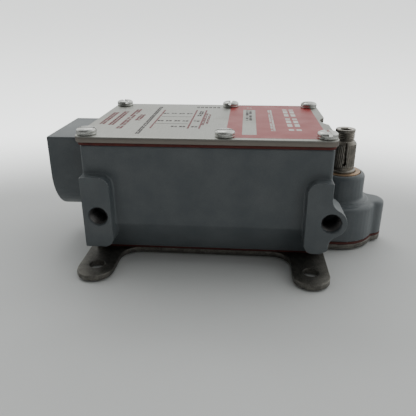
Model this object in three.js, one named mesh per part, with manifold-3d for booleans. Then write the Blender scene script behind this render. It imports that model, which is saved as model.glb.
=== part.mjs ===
// A heavy-duty limit switch with a rotary lever shaft. Millimetres, +Z away from the mounting surface.
// The origin is on the back face of the base plate, at the centre of its four mounting holes.
// +X points towards the shaft head and -X towards the conduit entry.
import * as THREE from 'three';
import { mergeVertices } from 'three/addons/utils/BufferGeometryUtils.js';
import Module from 'manifold-3d';

const wasm = await Module();
wasm.setup();

// ---------- driving dimensions ----------
// clearances: between faces that are screwed together, round pieces that fit, and beside pieces that slide
const seatGap = 0.05;
const fitGap = 0.3;
const slideGap = 0.4;
// how far a cutter runs past the face it cuts
const over = 1;

// housing casting
const housingLength = 115.7;
const housingWidth = 81.2;
const housingHeight = 55.5;
const housingMiddleX = 0.8;
const housingCorner = 1.5;
const wall = 4.5;
const rearWidth = 62;
const rearTaperHeight = 16.5;
const webThickness = 3.5;
const webUnderside = 17.3;
const bossRadius = 5.2;
const rearBossRadius = 4.8;
const chamberCorner = 3;

// conduit hub
const hubReach = 23.05;
const hubHalfWidth = 23;
const hubTopDrop = 0.9;
const hubAxisDrop = 19.3;
const conduitBore = 12.4;
const conduitMouth = 13.4;
const conduitMouthDepth = 1;

// side mounting pads
const padHeight = 35.4;
const padBottom = 6.4;
const padProud = 5.6;
const padWidth = 14;
const padDepth = 16;
const padCorner = 5;
const padHoleInset = 7.4;
const padHoleHeight = 22.4;
const padHoleRadius = 4.45;
const padHoleMouth = 4.85;
const padHoleDepth = 13;
const padMouthDepth = 0.25;
const padHoleOutset = 0.45;
const padLobeRadius = 7.1;
const padLobeFillet = 6;
const padEndStep = 2.65;
const padEndCut = 2;

// shaft head
const shaftOutset = 11.75;
const headHeight = 18.2;
const headRounding = 2.2;
const headRoof = 3.4;
const headWall = 4.3;
const stepWidth = 3.1;
const stepHeight = 0.9;
const neckWall = 2.4;
const neckHeight = 15.4;
const neckRounding = 2.8;
const neckFoot = 1.6;
const lobeInset = 2.3;
const lobeRadius = 7.5;
const lobeFillet = 3;

// front cover
const coverThickness = 2.8;
const coverGasketThickness = 1.4;
const coverHubOverhang = 2.25;
const coverHeadOverhang = 1.5;
const coverSideOverhang = 1.3;
const coverCorner = 4.5;
const coverNotchRadius = 13.4;
const coverNotchRounding = 2;
const coverGasketInset = 0.9;
const coverScrewInset = 5.6;
const coverScrewEndInset = 5;
const coverScrewMiddleX = 9.5;
const coverScrewHead = 4.6;
const coverScrewHeadHeight = 3.2;
const coverScrewShank = 1.7;
const coverScrewLength = 14;
// a screw slot's depth as a share of the head's height, and its width as a share of the head's radius
const screwSlotDepth = 0.45;
const screwSlotWidth = 0.26;

// base plate
const plateThickness = 2.8;
const plateGasketThickness = 1.3;
const mountInset = 6.55;
const mountSpacingY = 98.3;
const mountHoleRadius = 3.75;
const earRadius = 8.7;
const earReach = 2.9;
const earFillet = 9.5;
const plateSideInset = 1;
const plateNeckFillet = 2.5;
const plateScrewInset = 6.2;
const plateScrewHead = 3.4;
const plateScrewShank = 1.8;
const plateScrewLength = 12;

// lever shaft
const leverSeatRadius = 6.35;
const leverSeatLength = 14.2;
const journalRadius = 7.1;
const collarHeight = 1.4;
const collarChamfer = 0.4;
const endChamfer = 0.6;
const threadRadius = 5.05;
const threadLength = 5.6;
const undercutRadius = 4.6;
const undercutLength = 1.2;
const shaftChamfer = 1.3;
const socketAcross = 5.6;
const socketDepth = 5;
const driftSlotWidth = 0.9;
const driftSlotDepth = 1.1;
const tailRadius = 4;
const tailAcross = 6;
const bushingWall = 2.7;
const bushingProud = 0.3;
const bushingChamfer = 0.5;
const sealWidth = 2;
const sealDrop = 4;
const grooveDepth = 1;
const washerRadius = 9.4;
const washerThickness = 1.4;

// drive cam and push slide
const camThickness = 5;
const camFloorGap = 2.4;
const camWall = 1.1;
const slideTravel = 2.5;
const camSwing = Math.PI / 3;
const forkArm = 2.2;
const forkReach = 5;
const barHalfWidth = 4;
const passageGap = 1.5;
const postOutset = 3;
const postHalf = 2.5;
const ringThickness = 1;
const ringRadius = 6;
const pinRadius = 1.1;
const pinSink = 2.1;
const springWire = 0.6;
const springRadius = 6;
const springTurns = 3;
const guideLength = 12;
const guideOutset = 24;
const guideSheet = 1.2;
const guideFlange = 7;

// contact block
const blockLength = 74;
const blockHalfWidth = 20;
const blockHeight = 18.7;
const blockFloor = 3.7;
const terminalDrop = 4;
const troughHalfWidth = 7;
const bridgeOffset = 14;
const bridgeHalfLength = 13;
const bridgeThickness = 1;
const bridgeWidth = 5;
const bridgeSpringRoom = 5.9;
const bridgeSpringRadius = 1.9;
const bridgeSpringWire = 0.35;
const bridgeSpringTurns = 3.5;
const carrierHeight = 9;
const carrierRoof = 1.6;
const carrierEnd = 8;
const contactSheet = 1.2;
const contactGap = 0.3;
const contactOverlap = 4;
const terminalWidth = 8;
const terminalScrewHead = 3.3;
const terminalScrewShank = 1.6;
const terminalScrewLength = 8;
const capThickness = 1.8;
const blockScrewInset = 5;
const blockScrewHead = 3.2;
const smallHeadHeight = 2.2;
const groundScrewHead = 4;
const groundScrewLength = 3;
const blockScrewShank = 1.7;
const guideScrewRoof = 0.8;
const groundScrewInset = 12;

// ---------- levels and places that follow from them ----------
const gasketBottom = plateThickness + seatGap;
const housingBottom = gasketBottom + plateGasketThickness + seatGap;
const housingTop = housingBottom + housingHeight;
const coverGasketBottom = housingTop + seatGap;
const coverBottom = coverGasketBottom + coverGasketThickness + seatGap;
const coverTop = coverBottom + coverThickness;
const housingLeft = housingMiddleX - housingLength / 2;
const housingRight = housingMiddleX + housingLength / 2;
const halfWidth = housingWidth / 2;
const shaftX = housingRight + shaftOutset;
const mountSpacingX = housingLength - 2 * mountInset;
const plateHalfWidth = rearWidth / 2 - plateSideInset;
const postX = housingMiddleX + postOutset;
const guideX = postX + guideOutset;
const webBottom = housingBottom + webUnderside;
const webTop = webBottom + webThickness;
const headTop = housingBottom + headHeight;
const neckTop = headTop + neckHeight;
const cavityTop = headTop - headRoof;
const hubTop = housingTop - hubTopDrop;
const hubMiddle = hubTop - hubAxisDrop;
const camBottom = housingBottom + camFloorGap;
const camTop = camBottom + camThickness;
const washerTop = cavityTop - fitGap;
const washerBottom = washerTop - washerThickness;
const coverScrewY = halfWidth + coverSideOverhang - coverScrewInset;
const coverScrewX = [
  housingLeft - coverHubOverhang + coverScrewEndInset,
  coverScrewMiddleX,
  housingRight + coverHeadOverhang - coverScrewEndInset,
];
const camPerRadian = slideTravel / camSwing;
const camRadius = tailAcross / 2 + fitGap + camWall + 1.25 * slideTravel;
const bushingRadius = journalRadius + bushingWall;
const anchorPinOffset = bushingRadius + pinRadius + 4 * fitGap;
const drivePinOffset = camRadius + 1.25 * slideTravel - pinRadius - 3 * fitGap;
const springLegEnd = anchorPinOffset + pinRadius + springWire;
const forkOutside = camRadius + fitGap / 2 + forkArm;
const cavityRadius = Math.max(
  springLegEnd + springWire + 2 * fitGap,
  Math.hypot(forkOutside + slideTravel, camRadius - slideTravel / 2) + slideGap);
const headRadius = cavityRadius + headWall;
const neckRadius = bushingRadius + fitGap + neckWall;
const stepRadius = neckRadius + stepWidth;
const lobeOffset = headRadius - lobeInset;
const plateScrewPlaces = [
  [housingLeft + plateScrewInset, -rearWidth / 2 + plateScrewInset],
  [housingLeft + plateScrewInset, rearWidth / 2 - plateScrewInset],
  [housingRight - plateScrewInset - wall / 2, -rearWidth / 2 + plateScrewInset],
  [housingRight - plateScrewInset - wall / 2, rearWidth / 2 - plateScrewInset],
  [shaftX + lobeOffset, 0],
];
const blockBottom = webTop + seatGap;
const blockTop = blockBottom + blockHeight;
const terminalSeat = blockTop - terminalDrop;
const carrierBottom = blockBottom + blockFloor + slideGap;
const bridgeMiddleZ = carrierBottom + carrierHeight / 2;
const contactFace = slideTravel + bridgeThickness / 2 + contactGap;
const terminalPitch = contactFace + terminalWidth / 2 - contactSheet / 2;
const terminalScrewY = blockHalfWidth - terminalScrewHead - fitGap;

// ---------- solids ----------
// arcs take twice arcSteps pieces each
const arcSteps = 4;
const roundSteps = 32;
const holeSteps = 12;
const screwSteps = 16;
const shaftSteps = 24;
const along = {
  x: new THREE.Matrix4().makeBasis(
    new THREE.Vector3(0, 1, 0), new THREE.Vector3(0, 0, 1), new THREE.Vector3(1, 0, 0)),
  y: new THREE.Matrix4().makeBasis(
    new THREE.Vector3(-1, 0, 0), new THREE.Vector3(0, 0, 1), new THREE.Vector3(0, 1, 0)),
  z: new THREE.Matrix4(),
};

// Makes a manifold solid of a closed three.js geometry.
function toSolid(geometry) {
  const loose = geometry.index ? geometry.toNonIndexed() : geometry;
  const bare = new THREE.BufferGeometry().setAttribute('position', loose.getAttribute('position'));
  const merged = mergeVertices(bare, 1e-4);
  return new wasm.Manifold(new wasm.Mesh({
    numProp: 3,
    vertProperties: merged.attributes.position.array,
    triVerts: new Uint32Array(merged.index.array),
  }));
}

// Turns a solid back into a geometry with flat normals.
function toGeometry(solid) {
  const mesh = solid.getMesh();
  const indexed = new THREE.BufferGeometry();
  indexed.setAttribute('position', new THREE.BufferAttribute(new Float32Array(mesh.vertProperties), 3));
  indexed.setIndex(new THREE.BufferAttribute(new Uint32Array(mesh.triVerts), 1));
  const flat = indexed.toNonIndexed();
  flat.computeVertexNormals();
  return flat;
}

function joined(...solids) {
  return solids.reduce((all, next) => all.add(next));
}

function cut(body, ...tools) {
  return tools.reduce((rest, tool) => rest.subtract(tool), body);
}

// Extrudes a shape from low to high along an axis. Across x it is drawn in (y, z), across y in (-x, z).
function extruded(shape, low, high, axis = 'z', curveSegments = arcSteps) {
  const geometry = new THREE.ExtrudeGeometry(shape, {
    depth: high - low, bevelEnabled: false, curveSegments,
  });
  geometry.translate(0, 0, low);
  geometry.applyMatrix4(along[axis]);
  return toSolid(geometry);
}

// Turns a profile of [radius, height] points, from its bottom round its outside to its top.
function turned(profile, x = 0, y = 0, steps = roundSteps) {
  const points = profile.map(([radius, height]) => new THREE.Vector2(radius, height));
  const geometry = new THREE.LatheGeometry(points, steps);
  geometry.rotateX(Math.PI / 2);
  geometry.translate(x, y, 0);
  return toSolid(geometry);
}

function inOrder(a, b) {
  return [Math.min(a, b), Math.max(a, b)];
}

function disc(radius, low, high, x = 0, y = 0, steps = roundSteps) {
  return turned([[0, low], [radius, low], [radius, high], [0, high]], x, y, steps);
}

function ring(inner, outer, low, high, x = 0, y = 0, steps = roundSteps) {
  return turned([[inner, low], [outer, low], [outer, high], [inner, high], [inner, low]], x, y, steps);
}

function box(x0, x1, y0, y1, z0, z1) {
  const geometry = new THREE.BoxGeometry(x1 - x0, y1 - y0, z1 - z0);
  geometry.translate((x0 + x1) / 2, (y0 + y1) / 2, (z0 + z1) / 2);
  return toSolid(geometry);
}

function roundedRectangle(x0, x1, y0, y1, radius) {
  const shape = new THREE.Shape();
  shape.absarc(x0 + radius, y0 + radius, radius, Math.PI, 1.5 * Math.PI);
  shape.absarc(x1 - radius, y0 + radius, radius, 1.5 * Math.PI, 2 * Math.PI);
  shape.absarc(x1 - radius, y1 - radius, radius, 0, Math.PI / 2);
  shape.absarc(x0 + radius, y1 - radius, radius, Math.PI / 2, Math.PI);
  return shape;
}

// The points of an outline that is the same on both sides of the X axis, from its half at y < 0.
function mirroredPoints(half) {
  const near = half.getPoints(arcSteps);
  const far = near.map((point) => new THREE.Vector2(point.x, -point.y)).reverse();
  const all = [...near, ...far];
  return all.filter((point, i) => point.distanceTo(all[(i + 1) % all.length]) > 1e-4);
}

// Stacks one outline at several heights, each [height, inset], and closes both ends.
function lofted(outlineAt, levels) {
  const rings = levels.map(([, inset]) => outlineAt(inset));
  const count = rings[0].length;
  const positions = rings.flatMap((points, i) => points.flatMap((p) => [p.x, p.y, levels[i][0]]));
  const index = [];
  for (let level = 0; level + 1 < rings.length; level++) {
    for (let i = 0; i < count; i++) {
      const a = level * count + i;
      const b = level * count + (i + 1) % count;
      index.push(a, b, b + count, a, b + count, a + count);
    }
  }
  const top = (rings.length - 1) * count;
  for (const [a, b, c] of THREE.ShapeUtils.triangulateShape(rings[0], [])) index.push(c, b, a);
  for (const [a, b, c] of THREE.ShapeUtils.triangulateShape(rings[rings.length - 1], [])) {
    index.push(top + a, top + b, top + c);
  }
  const geometry = new THREE.BufferGeometry();
  geometry.setAttribute('position', new THREE.Float32BufferAttribute(positions, 3));
  geometry.setIndex(index);
  return toSolid(geometry);
}

// Heights and insets that round the top edge of a lofted piece.
function roundedTop(low, high, radius, steps = 3) {
  const levels = [[low, 0]];
  for (let i = 0; i <= steps; i++) {
    const angle = (i / steps) * Math.PI / 2;
    levels.push([high - radius + radius * Math.sin(angle), radius * (1 - Math.cos(angle))]);
  }
  return levels;
}

// The same for a turned profile, as [radius, height] points.
function roundedShoulder(radius, high, rounding, steps = 4) {
  return roundedTop(0, high, rounding, steps).slice(1).map(([z, inset]) => [radius - inset, z]);
}

// A wire of round section that follows a curve.
function wire(points, radius, steps, sides = 8) {
  const circle = new THREE.Path().absarc(0, 0, radius, 0, 2 * Math.PI);
  const section = new THREE.Shape(circle.getPoints(sides / 2).slice(0, -1));
  const geometry = new THREE.ExtrudeGeometry(section, {
    steps, extrudePath: new THREE.CatmullRomCurve3(points),
  });
  return toSolid(geometry);
}

// ---------- finishes ----------
const finishes = {
  castingPaint: { color: 0x5c666b, roughness: 0.55, metalness: 0.1 },
  brushedSteel: { color: 0x9a9a96, roughness: 0.38, metalness: 1 },
  wornSteel: { color: 0x6f6c64, roughness: 0.55, metalness: 0.9 },
  brightSteel: { color: 0xc4c4c0, roughness: 0.25, metalness: 1 },
  darkSteel: { color: 0x6b645a, roughness: 0.4, metalness: 1 },
  redRubber: { color: 0x8a2c26, roughness: 0.75, metalness: 0 },
  blackRubber: { color: 0x18181a, roughness: 0.7, metalness: 0 },
  bronze: { color: 0x96714a, roughness: 0.4, metalness: 1 },
  springSteel: { color: 0x8c8e90, roughness: 0.3, metalness: 1 },
  phenolic: { color: 0x2a211c, roughness: 0.5, metalness: 0 },
  whitePlastic: { color: 0xd8d5c8, roughness: 0.5, metalness: 0 },
  brass: { color: 0xb08d4a, roughness: 0.35, metalness: 1 },
  silver: { color: 0xcfcfcd, roughness: 0.3, metalness: 1 },
  greenScrew: { color: 0x2f7a46, roughness: 0.4, metalness: 0.5 },
};

const limitSwitch = new THREE.Group();

function addPiece(name, solid, finish) {
  const mesh = new THREE.Mesh(toGeometry(solid), new THREE.MeshStandardMaterial(finishes[finish]));
  mesh.name = name;
  limitSwitch.add(mesh);
}

// ---------- screws ----------
// A slotted screw with a domed head that sits on seat and a shank that reaches down from it.
function slottedScrew({ x, y, seat, head, headHeight, shank, length, slotAngle = 0, rim = 0.3, rings = 3 }) {
  const dome = [];
  for (let i = 0; i <= rings; i++) {
    const angle = (i / rings) * Math.PI / 2;
    dome.push([head * Math.cos(angle), seat + headHeight * (rim + (1 - rim) * Math.sin(angle))]);
  }
  dome[rings][0] = 0;
  const profile = [[0, seat - length], [shank, seat - length], [shank, seat], [head, seat], ...dome];
  const body = turned(profile, 0, 0, screwSteps);
  const slotDepth = headHeight * screwSlotDepth;
  const slotWidth = head * screwSlotWidth;
  const slot = new THREE.BoxGeometry(3 * head, slotWidth, 2 * slotDepth);
  slot.translate(0, 0, seat + headHeight);
  slot.rotateZ(slotAngle);
  const cutBody = cut(body, toSolid(slot));
  const placed = toGeometry(cutBody);
  placed.translate(x, y, 0);
  return toSolid(placed);
}

// A countersunk screw driven from below, its head flush with the plate's back face.
function countersunkScrew(x, y) {
  const face = seatGap;
  const cone = plateScrewHead - plateScrewShank;
  const tip = face + plateScrewLength;
  const body = turned([
    [0, face], [plateScrewHead, face], [plateScrewShank, face + cone], [plateScrewShank, tip], [0, tip],
  ], x, y, screwSteps);
  const slotHalf = plateScrewHead * screwSlotWidth / 2;
  const slotTop = face + cone * screwSlotDepth;
  const slot = box(x - plateScrewHead - over, x + plateScrewHead + over, y - slotHalf, y + slotHalf,
    face - over, slotTop);
  return cut(body, slot);
}

// ---------- outlines ----------
// Adds the head's plan edge for y < 0, from its straight side to the tip of the screw lobe.
function addHeadEdge(path, inset) {
  const main = headRadius - inset;
  const lobe = lobeRadius - inset;
  const fillet = lobeFillet + inset;
  const x = (lobeOffset ** 2 + (main + fillet) ** 2 - (lobe + fillet) ** 2) / (2 * lobeOffset);
  const y = -Math.sqrt((main + fillet) ** 2 - x ** 2);
  const mainAngle = Math.atan2(y, x);
  const lobeAngle = Math.atan2(y, x - lobeOffset);
  path.absarc(shaftX, 0, main, -Math.PI / 2, mainAngle, false);
  path.absarc(shaftX + x, y, fillet, mainAngle + Math.PI, lobeAngle + Math.PI, true);
  path.absarc(shaftX + lobeOffset, 0, lobe, lobeAngle, 0, false);
}

function headOutline(inset) {
  const half = new THREE.Path();
  half.moveTo(housingRight - wall, 0);
  half.lineTo(housingRight - wall, -headRadius + inset);
  addHeadEdge(half, inset);
  return mirroredPoints(half);
}

// The cover's outline, notched round the shaft so that a lever's hub can turn.
function coverOutline(inset) {
  const left = housingLeft - coverHubOverhang + inset;
  const right = housingRight + coverHeadOverhang - inset;
  const side = -halfWidth - coverSideOverhang + inset;
  const corner = coverCorner - inset;
  const notch = coverNotchRadius + inset;
  const rounding = coverNotchRounding;
  const half = new THREE.Path();
  half.moveTo(left, 0);
  half.absarc(left + corner, side + corner, corner, Math.PI, 1.5 * Math.PI);
  half.absarc(right - corner, side + corner, corner, 1.5 * Math.PI, 2 * Math.PI);
  const x = right - rounding - shaftX;
  const y = -Math.sqrt((notch + rounding) ** 2 - x ** 2);
  const towardsShaft = Math.atan2(-y, -x);
  half.absarc(shaftX + x, y, rounding, 0, towardsShaft);
  half.absarc(shaftX, 0, notch, towardsShaft + Math.PI, Math.PI, true);
  return mirroredPoints(half);
}

// The base plate's outline: a straight-sided plate with four ears, and the head's outline at one end.
function plateOutline(inset) {
  const outer = mountSpacingX / 2 + earRadius - inset;
  const inner = mountSpacingX / 2 - earRadius + inset;
  const earEnd = -mountSpacingY / 2 - earReach;
  const edge = -plateHalfWidth + inset;
  const fillet = earFillet + inset;
  const neck = plateNeckFillet + inset;
  const headSide = -headRadius + inset;
  const half = new THREE.Path();
  half.moveTo(-outer, 0);
  half.absarc(-mountSpacingX / 2, earEnd, earRadius - inset, Math.PI, 2 * Math.PI);
  half.absarc(-inner + fillet, edge - fillet, fillet, Math.PI, Math.PI / 2, true);
  half.absarc(inner - fillet, edge - fillet, fillet, Math.PI / 2, 0, true);
  half.absarc(mountSpacingX / 2, earEnd, earRadius - inset, Math.PI, 2 * Math.PI);
  half.absarc(outer + neck, headSide - neck, neck, Math.PI, Math.PI / 2, true);
  addHeadEdge(half, inset);
  return mirroredPoints(half);
}

// The wiring chamber behind the cover: the walls' inside, less a boss round each cover screw.
function frontChamber(low, high) {
  const plan = roundedRectangle(
    housingLeft + wall, housingRight - wall, -halfWidth + wall, halfWidth - wall, chamberCorner);
  const pocket = extruded(plan, low, high);
  const bosses = coverScrewX.flatMap((x) => [-coverScrewY, coverScrewY].map(
    (y) => disc(bossRadius, low - over, high + over, x, y, holeSteps)));
  return cut(pocket, ...bosses);
}

// The mechanism chamber at the back, less a boss round each base plate screw.
function rearChamber(low, high) {
  const side = rearWidth / 2 - wall;
  const plan = roundedRectangle(housingLeft + wall, housingRight - 2 * wall, -side, side, chamberCorner);
  const pocket = extruded(plan, low, high);
  const bosses = plateScrewPlaces.slice(0, 4).map(
    ([x, y]) => disc(rearBossRadius, low - over, high + over, x, y, holeSteps));
  const passageHalf = barHalfWidth + passageGap;
  const passage = box(housingRight - 3 * wall, shaftX, -passageHalf, passageHalf, low, camTop + passageGap);
  const cavity = disc(cavityRadius, low, Math.min(high, cavityTop), shaftX);
  return joined(cut(pocket, ...bosses), passage, cavity);
}

// The slot that the slide's post moves in.
function postSlot(low, high) {
  const length = postHalf + slideTravel + 2 * slideGap;
  const side = postHalf + 2 * slideGap;
  return box(postX - length, postX + length, -side, side, low, high);
}

// ---------- housing ----------
function makeHousing() {
  const section = new THREE.Shape([
    new THREE.Vector2(-halfWidth, housingTop),
    new THREE.Vector2(-halfWidth, housingBottom + rearTaperHeight),
    new THREE.Vector2(-rearWidth / 2, housingBottom),
    new THREE.Vector2(rearWidth / 2, housingBottom),
    new THREE.Vector2(halfWidth, housingBottom + rearTaperHeight),
    new THREE.Vector2(halfWidth, housingTop),
  ]);
  const plan = roundedRectangle(housingLeft, housingRight, -halfWidth, halfWidth, housingCorner);
  const block = extruded(plan, housingBottom, housingTop).intersect(
    extruded(section, housingLeft - over, housingRight + over, 'x'));
  const outside = joined(block, makeHub(), makeHead(), makePads(-1), makePads(1));
  const tools = [
    frontChamber(webTop, housingTop + over),
    rearChamber(housingBottom - over, webBottom),
    disc(bushingRadius + fitGap, cavityTop - over, neckTop + over, shaftX),
    postSlot(webBottom - over, webTop + over),
    ...makeConduitTools(),
    ...makeThreadedHoles(),
  ];
  return cut(outside, ...tools);
}

// The hub has a flat top and a half-round belly, square to the end wall.
function makeHub() {
  const shape = new THREE.Shape();
  shape.moveTo(hubHalfWidth, hubTop);
  shape.lineTo(-hubHalfWidth, hubTop);
  shape.absarc(0, hubMiddle, hubHalfWidth, Math.PI, 2 * Math.PI);
  return extruded(shape, housingLeft - hubReach, housingLeft + wall / 2, 'x', 3 * arcSteps);
}

function makeConduitTools() {
  const depth = hubReach + wall + over;
  return [turnedAlongX([
    [0, -over], [conduitMouth, -over], [conduitMouth, conduitMouthDepth],
    [conduitBore, conduitMouthDepth + 2], [conduitBore, depth], [0, depth],
  ], housingLeft - hubReach, 0, hubMiddle)];
}

function turnedAlongX(profile, x, y, z) {
  const points = profile.map(([radius, height]) => new THREE.Vector2(radius, height));
  const geometry = new THREE.LatheGeometry(points, roundSteps);
  geometry.rotateZ(-Math.PI / 2);
  geometry.translate(x, y, z);
  return toSolid(geometry);
}

function turnedAlongY(profile, x, y, z, side) {
  const points = profile.map(([radius, height]) => new THREE.Vector2(radius, height));
  const geometry = new THREE.LatheGeometry(points, screwSteps);
  if (side < 0) geometry.rotateX(Math.PI);
  geometry.translate(x, y, z);
  return toSolid(geometry);
}

// The head carries the shaft: a wide drum with a screw lobe, and a neck that holds the bushing.
function makeHead() {
  const drum = lofted(headOutline, roundedTop(housingBottom, headTop, headRounding));
  const stepTop = headTop + stepHeight;
  const neck = turned([
    [0, headTop - headRounding], [stepRadius, headTop - headRounding], [stepRadius - 0.5, stepTop],
    [neckRadius + neckFoot, stepTop], [neckRadius + 0.3 * neckFoot, stepTop + 0.3 * neckFoot],
    [neckRadius, stepTop + neckFoot],
    ...roundedShoulder(neckRadius, neckTop, neckRounding), [0, neckTop],
  ], shaftX);
  return joined(drum, neck);
}

// Two pads stand out of each long side, the one at the head with a lobe round its bolt hole.
function makePads(side) {
  const top = housingBottom + padBottom + padHeight;
  const low = housingBottom + padBottom;
  const face = halfWidth + padProud;
  const root = halfWidth + padProud - padDepth;
  const [depthLow, depthHigh] = side < 0 ? [-face, -root] : [root, face];
  const left = roundedRectangle(-housingLeft - padWidth, -housingLeft, low, top, padCorner);
  const squareEnd = new THREE.Shape([
    new THREE.Vector2(-housingLeft - padCorner, low), new THREE.Vector2(-housingLeft, low),
    new THREE.Vector2(-housingLeft, top), new THREE.Vector2(-housingLeft - padCorner, top),
  ]);
  const right = roundedRectangle(-housingRight, -housingRight + padWidth - padEndStep, low, top, padCorner);
  const squareRight = new THREE.Shape([
    new THREE.Vector2(-housingRight, low + padEndCut), new THREE.Vector2(-housingRight + padCorner, low),
    new THREE.Vector2(-housingRight + padCorner, top), new THREE.Vector2(-housingRight, top),
  ]);
  const lobe = makePadLobe();
  return joined(
    ...[left, squareEnd, right, squareRight].map((shape) => extruded(shape, depthLow, depthHigh, 'y')),
    extruded(lobe, depthLow, depthHigh, 'y'));
}

// The lobe stands past the end wall and runs back into it above and below with hollow fillets.
function makePadLobe() {
  const [, holeX] = padHoleX();
  const holeZ = housingBottom + padHoleHeight;
  const fillet = padLobeFillet;
  const wallX = housingRight;
  const reach = padLobeRadius + fillet;
  const drop = Math.sqrt(reach ** 2 - (wallX + fillet - holeX) ** 2);
  const turn = Math.atan2(drop, wallX + fillet - holeX);
  const shape = new THREE.Shape();
  shape.moveTo(-(wallX - padCorner), holeZ + drop);
  shape.absarc(-(wallX + fillet), holeZ + drop, fillet, 0, -turn, true);
  shape.absarc(-holeX, holeZ, padLobeRadius, Math.PI - turn, Math.PI + turn, false);
  shape.absarc(-(wallX + fillet), holeZ - drop, fillet, turn, 0, true);
  shape.lineTo(-(wallX - padCorner), holeZ - drop);
  return shape;
}

function padHoleX() {
  return [housingLeft + padHoleInset, housingRight + padHoleOutset];
}

function makeThreadedHoles() {
  const tools = [];
  for (const side of [-1, 1]) {
    for (const x of padHoleX()) {
      const profile = [
        [0, -over], [padHoleMouth, -over], [padHoleMouth, padMouthDepth], [padHoleRadius, 4 * padMouthDepth],
        [padHoleRadius, padHoleDepth], [0, padHoleDepth + padHoleRadius / 2],
      ];
      const y = side * (halfWidth + padProud);
      tools.push(turnedAlongY(profile, x, y, housingBottom + padHoleHeight, -side));
    }
  }
  tools.push(disc(
    pinRadius + fitGap, cavityTop - over, cavityTop + pinSink + fitGap, shaftX, anchorPinOffset, holeSteps));
  tools.push(...coverScrewHoles(housingTop - coverScrewLength, housingTop + over));
  for (const [x, y] of plateScrewPlaces) {
    tools.push(disc(plateScrewShank + fitGap, housingBottom - over, plateScrewLength + 2, x, y, holeSteps));
  }
  const smallBore = blockScrewShank + fitGap;
  for (const [x, y] of [...blockScrewX().map((place) => [place, 0]), groundScrewPlace()]) {
    tools.push(disc(smallBore, webBottom - over, webTop + over, x, y, holeSteps));
  }
  for (const y of [-guideScrewY(), guideScrewY()]) {
    tools.push(disc(smallBore, webBottom - over, webTop - guideScrewRoof, guideX, y, holeSteps));
  }
  return tools;
}

function blockScrewX() {
  return [postX - blockLength / 2 + blockScrewInset, postX + blockLength / 2 - blockScrewInset];
}

function guideScrewY() {
  return barHalfWidth + slideGap + guideSheet + guideFlange / 2;
}

function groundScrewPlace() {
  return [housingLeft + groundScrewInset, -halfWidth + wall + groundScrewInset];
}


// ---------- front cover ----------
function makeCover() {
  const plate = lofted(coverOutline, [[coverBottom, 0], [coverTop, 0]]);
  return cut(plate, ...coverScrewHoles(coverBottom - over, coverTop + over));
}

function coverScrewHoles(low, high) {
  return coverScrewX.flatMap((x) => [-coverScrewY, coverScrewY].map(
    (y) => disc(coverScrewShank + fitGap, low, high, x, y, holeSteps)));
}

function makeCoverGasket() {
  const top = coverGasketBottom + coverGasketThickness;
  const sheet = lofted(() => coverOutline(coverGasketInset), [[coverGasketBottom, 0], [top, 0]]);
  const low = coverGasketBottom - over;
  return cut(sheet, frontChamber(low, top + over), ...coverScrewHoles(low, top + over));
}

// ---------- base plate ----------
function makeBasePlate() {
  const plate = lofted(plateOutline, [[0, 0], [plateThickness, 0]]);
  const top = plateThickness + over;
  const ears = [-1, 1].flatMap((sx) => [-1, 1].map((sy) => disc(
    mountHoleRadius, -over, top, sx * mountSpacingX / 2, sy * mountSpacingY / 2, screwSteps)));
  const sinks = plateScrewPlaces.map(([x, y]) => countersink(x, y));
  return cut(plate, ...ears, ...sinks);
}

function countersink(x, y) {
  const mouth = plateScrewHead + fitGap;
  const bore = plateScrewShank + fitGap;
  const depth = seatGap + mouth - bore;
  return turned([
    [0, -over], [mouth, -over], [mouth, seatGap], [bore, depth], [bore, plateThickness + over],
    [0, plateThickness + over],
  ], x, y, holeSteps);
}

// The gasket follows the casting's foot: a straight band the width of the housing's back, and the head.
function makeBaseGasket() {
  const top = gasketBottom + plateGasketThickness;
  const half = new THREE.Path();
  half.moveTo(housingLeft - seatGap, 0);
  half.lineTo(housingLeft - seatGap, -plateHalfWidth);
  half.lineTo(housingRight, -plateHalfWidth);
  half.lineTo(housingRight, -headRadius);
  addHeadEdge(half, 0);
  const sheet = lofted(() => mirroredPoints(half), [[gasketBottom, 0], [top, 0]]);
  const holes = plateScrewPlaces.map(
    ([x, y]) => disc(plateScrewShank + fitGap, gasketBottom - over, top + over, x, y, holeSteps));
  return cut(sheet, rearChamber(gasketBottom - over, top + over), ...holes);
}

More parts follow.
